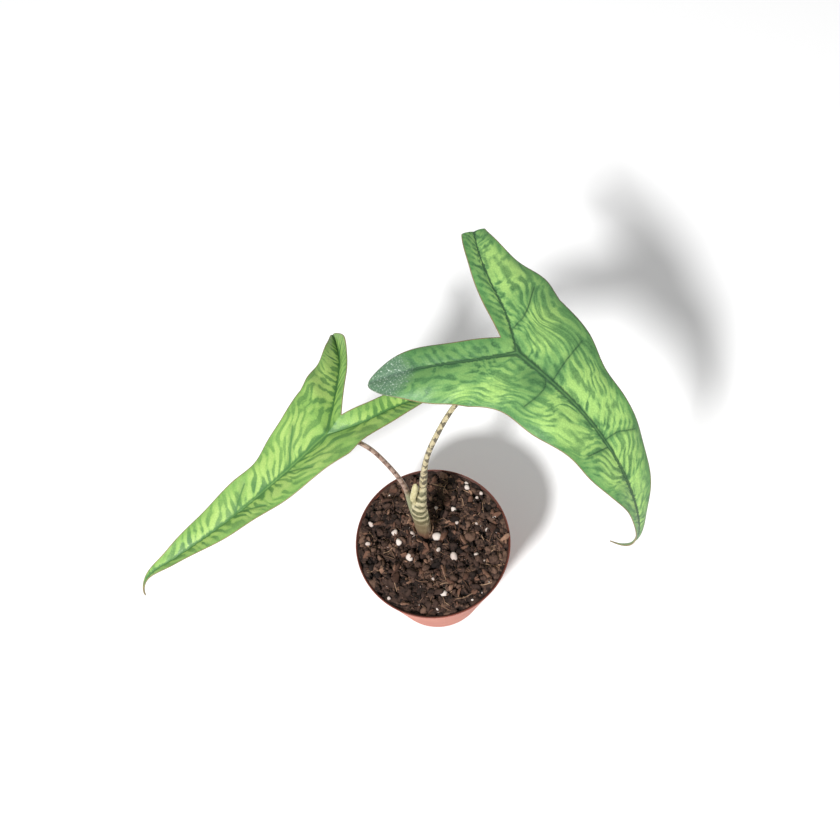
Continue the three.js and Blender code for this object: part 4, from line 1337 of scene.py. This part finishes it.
def soil_surface(place):
    """Height, tone and depth of the mix at points (x, y)."""
    shifted = place
    for size, seed, far in CRUMB_SHIFTS:
        shifted = shifted + far * np.stack([ripple(place, size, seed + k) for k in (0, 1)], -1)
    height = np.full(len(place), SOIL_TOP - GAP_DEPTH)
    tone = np.full(len(place), GAP_SHADE_TONE)
    for spot, size, foot, shade in zip(crumb_place, crumb_size, crumb_foot, crumb_tone):
        beyond = size ** 2 - ((shifted - spot) ** 2).sum(1)
        top = np.where(beyond > 0, foot + np.sqrt(np.maximum(beyond, 0)), 0)
        higher = top > height
        height = np.where(higher, top, height)
        tone = np.where(higher, shade, tone)
    inside = smooth_step(np.linalg.norm(place, axis=1), SOIL_EDGE, SOIL_EDGE - 3)
    raised = height - SOIL_TOP + MIDDLE_DROP + ripple(place, SWELL_SIZE, 54)
    level = SOIL_TOP - between(EDGE_DROP, MIDDLE_DROP, inside)
    fuzz = FUZZ_HEIGHT * ripple(place, FUZZ_SIZE, 55)
    return level + raised * between(EDGE_RELIEF, 1, inside) + fuzz, tone, height


print("crumb sizes:", crumb_size.min().round(1), "to", crumb_size.max().round(1), "mm")

# %% Soil top and sides
soil_round = around(turns(SOIL_SIDES))
flat_soil = (SOIL_EDGE * np.linspace(0.004, 1, SOIL_RINGS)[:, None, None] * soil_round).reshape(-1, 2)
soil_height, soil_tone, soil_depth = soil_surface(flat_soil)
soil_top = at_height(flat_soil, soil_height).reshape(SOIL_RINGS, SOIL_SIDES, 3)
down = np.linspace(0.9, 0, 6)[:, None]
side_radius = between(SOIL_EDGE, SOIL_FOOT_RADIUS, 1 - down)
side = at_height(side_radius[..., None] * soil_round, between(SOIL_FOOT, SOIL_TOP, down))
soil_points, soil_faces = closed_rings(np.concatenate([soil_top, side]))
rest_of_soil = np.zeros(len(soil_points) - len(soil_tone))
soil_fields = {
    "tone": np.concatenate([soil_tone, rest_of_soil]),
    # The sides lie deep, so the painted shade darkens them too
    "depth": np.concatenate([soil_depth, rest_of_soil + SOIL_TOP - 3]),
}
print("height of the mix:", soil_height.min().round(1), "to", soil_height.max().round(1), "mm")

# %% [markdown]
# The mix's finish goes from nearly black painted shade deep between the crumbs to dusty brown crumb
# tops. Noise alone would run across the crumbs, so each crumb, chip and fibre also reads its own
# `tone`. The perlite is porous and off-white, from the same recipe in other colours.

# %% Soil finishes
CREVICE_SHADE_COLOUR = (12, 9, 8)


def mix_finish(name, dark, mid, light, crevice_shade=False):
    """Colour from dark over mid to light by tone. The flag paints shade, nearly black, on what lies deep, by
    `depth`.
    """
    finish, tree, shader = new_finish(name)
    place = object_place(tree)
    fleck = noise(place, 700.0, 4, 0.65)
    value = attribute(tree, "tone") + (fleck * 0.9 - 0.45) + (noise(place, 45.0, 2, 0.5) * 1.2 - 0.6)
    colour = blend(value.ramp(0.0, 0.55), dark, mid)
    colour = blend(value.ramp(0.55, 1.1), colour, light)
    if crevice_shade:
        # Painted shade: what lies deep between the crumbs turns nearly black
        deep_shade_mask = attribute(tree, "depth").ramp(SOIL_TOP - 2.4, SOIL_TOP - 0.4, 0.85, 0.0)
        colour = blend(deep_shade_mask, colour, CREVICE_SHADE_COLOUR)
    relief = bump(fleck, 0.0004, 0.9)
    plug(shader, {"Base Color": colour, "Roughness": 0.9, "Specular IOR Level": 0.25, "Normal": relief})
    return finish


soil_finish = mix_finish("potting_mix", (32, 24, 21), (66, 49, 42), (112, 86, 72), crevice_shade=True)
bark_finish = mix_finish("bark", (64, 44, 36), (104, 74, 60), (152, 118, 98))
fibre_finish = mix_finish("fibre", (82, 58, 46), (120, 92, 74), (172, 142, 116))
perlite_finish = mix_finish("perlite", (158, 142, 134), (200, 184, 176), (222, 210, 202))
make_piece("soil", soil_points, soil_faces, [soil_finish], "soil", fields=soil_fields, replaces=["soil"])

# %% [markdown]
# ## Loose crumbs, bark, fibres and perlite
# What lies on the mix is scattered by a seeded rule: a few dozen faces each, a random turn, a random
# stretch and bumps from `ripple`. A particle system could do it, but each kind is lighter as one array
# and one mesh. The larger perlite grains lie where they lie in the reference view.

# %% Bumpy balls
STEM_PLACE = (-4.9, 7.4)
STEM_CLEAR = 5.0
# x, y and radius of the larger grains
PERLITE = np.array([
    (3, 2, 2.9), (13, -13, 2.7), (3, -36, 3.1), (-25, 9, 2.3), (-17, -10, 2.7), (-13, 6, 2.1),
    (-23, 2, 2.1), (-41, 17, 2.0), (-44, 3, 1.7), (28, 35, 2.1), (37.5, 30, 1.8), (28, 38.5, 1.6),
    (34, 27, 1.3), (25, 25, 1.5), (17, 22, 1.6), (5, 23, 1.7), (3, -7, 1.6), (38, 3, 1.5),
    (28, -13, 1.7), (-3, -25, 2.2), (18, 11, 1.6), (-33, -35.5, 1.5), (-2, -46, 1.5), (28, -38.5, 1.2),
])


def random_turns(count, rng):
    """Rotation matrices of random unit quaternions (w, x, y, z)."""
    w, x, y, z = unit(rng.normal(size=(4, count)).T).T
    return np.stack([
        1 - 2 * (y * y + z * z), 2 * (x * y - w * z), 2 * (x * z + w * y),
        2 * (x * y + w * z), 1 - 2 * (x * x + z * z), 2 * (y * z - w * x),
        2 * (x * z - w * y), 2 * (y * z + w * x), 1 - 2 * (x * x + y * y),
    ], -1).reshape(count, 3, 3)


def lumps(name, spots, sizes, stretch, bumps, detail, seed, finish, lift=0.3, tones=(0.0, 1.0)):
    """Bumpy balls: place = spot + turn (stretch * ball * (1 + bumps * ripple)) * size."""
    rng = np.random.default_rng(seed)
    ball = bmesh.new()
    bmesh.ops.create_icosphere(ball, subdivisions=detail, radius=1)
    unit_ball = np.array([vertex.co for vertex in ball.verts])
    faces = np.array([[vertex.index for vertex in face.verts] for face in ball.faces])
    ball.free()
    count = len(spots)
    own = unit_ball + 40 * rng.random((count, 1, 3))
    shape = unit_ball * (1 + bumps * ripple(own, 1.5, seed)[..., None])
    shape = shape * (np.array(stretch) * rng.uniform(0.75, 1.3, (count, 3)))[:, None]
    shape = np.einsum("nij,nvj->nvi", random_turns(count, rng), shape) * sizes[:, None, None]
    points = shape + at_height(spots, soil_surface(spots)[0] + lift * sizes)[:, None]
    all_faces = (faces + len(unit_ball) * np.arange(count)[:, None, None]).reshape(-1, 3)
    tone = between(*tones, np.repeat(rng.random(count), len(unit_ball)))
    fields = {"tone": tone, "depth": np.full(len(tone), SOIL_TOP)}
    make_piece(name, points.reshape(-1, 3), [all_faces], [finish], "soil", fields=fields)


def spots_on_soil(count, rng, reach=0.955):
    """Random places in the pot that keep clear of the stem."""
    way = reach * SOIL_EDGE * np.sqrt(rng.random(3 * count))
    spots = way[:, None] * around(2 * np.pi * rng.random(3 * count))
    return spots[np.linalg.norm(spots - STEM_PLACE, axis=1) > STEM_CLEAR][:count]


print("larger perlite grains:", len(PERLITE))

# %% Scattered lumps
scatter = np.random.default_rng(77)
for name, count, size, stretch, bumps, detail, finish in (
    ("crumbs_small", 1500, (0.35, 1.1), (1.1, 1.0, 0.8), 0.16, 1, soil_finish),
    ("crumbs_large", 330, (1.0, 2.6), (1.15, 1.0, 0.8), 0.3, 2, soil_finish),
    ("bark_chips", 150, (0.9, 2.6), (1.7, 1.0, 0.5), 0.22, 2, bark_finish),
    ("perlite_small", 45, (0.3, 0.9), (1.0, 1.0, 0.9), 0.2, 2, perlite_finish),
):
    spots = spots_on_soil(count, scatter)
    sizes = between(*size, scatter.random(len(spots)) ** 2)
    lumps(name, spots, sizes, stretch, bumps, detail, len(name), finish)
lumps(
    "perlite", PERLITE[:, :2], 0.95 * PERLITE[:, 2], (1.0, 0.92, 0.85), 0.09, 3, 9, perlite_finish,
    lift=0.45, tones=(0.55, 0.95),
)

# %% [markdown]
# Coir fibres are thin bent strands. Bevelled curves could make them, but so many are lighter as one
# array: a centre line for each, an arc that follows the height of the mix, and a five-sided ring at
# each step.

# %% Fibres
FIBRES = 150
FIBRE_STEPS = 12
FIBRE_SIDES = 5
FIBRE_BEND = 0.09
FIBRE_LENGTH = (4, 15)
FIBRE_THICK = (0.16, 0.42)
FIBRE_LIFT = 0.5

fibre_rng = np.random.default_rng(90)
start = spots_on_soil(FIBRES, fibre_rng, 0.9)
heading = 2 * np.pi * fibre_rng.random(len(start))
bend = fibre_rng.uniform(-FIBRE_BEND, FIBRE_BEND, len(start))
length = fibre_rng.uniform(*FIBRE_LENGTH, len(start))
thick = fibre_rng.uniform(*FIBRE_THICK, len(start))
way = length[:, None] * np.linspace(0, 1, FIBRE_STEPS)
direction = heading[:, None] + bend[:, None] * way
step = np.diff(way, axis=1, prepend=0)[..., None] * around(direction)
path = start[:, None] + np.cumsum(step, axis=1)
reach = np.linalg.norm(path, axis=-1, keepdims=True)
path = path * np.minimum(1, 0.96 * SOIL_EDGE / np.maximum(reach, 1e-6))
ground = soil_surface(path.reshape(-1, 2))[0].reshape(path.shape[:2])
ground = (ground + np.roll(ground, 1, 1) + np.roll(ground, -1, 1)) / 3 + FIBRE_LIFT
sideways = at_height(around(direction + np.pi / 2), 0.0)
taper = np.sin(np.pi * np.linspace(0.06, 0.94, FIBRE_STEPS)) ** 0.5
cos, sin = around(turns(FIBRE_SIDES)).T[..., None]
ring = sideways[:, :, None] * cos + np.array([0.0, 0.0, 1.0]) * sin
strands = at_height(path, ground)[:, :, None] + (thick[:, None] * taper)[..., None, None] * ring
one = grid_faces(FIBRE_STEPS, FIBRE_SIDES, wrap=True)
last = (FIBRE_STEPS - 1) * FIBRE_SIDES
caps = np.array([np.arange(FIBRE_SIDES)[::-1], last + np.arange(FIBRE_SIDES)])
offset = FIBRE_STEPS * FIBRE_SIDES * np.arange(len(start))[:, None, None]
fibre_faces = [(one + offset).reshape(-1, 4), (caps + offset).reshape(-1, FIBRE_SIDES)]
fibre_tone = np.repeat(fibre_rng.random(len(start)), FIBRE_STEPS * FIBRE_SIDES)
make_piece(
    "fibres", strands.reshape(-1, 3), fibre_faces, [fibre_finish], "soil", fields={"tone": fibre_tone}
)
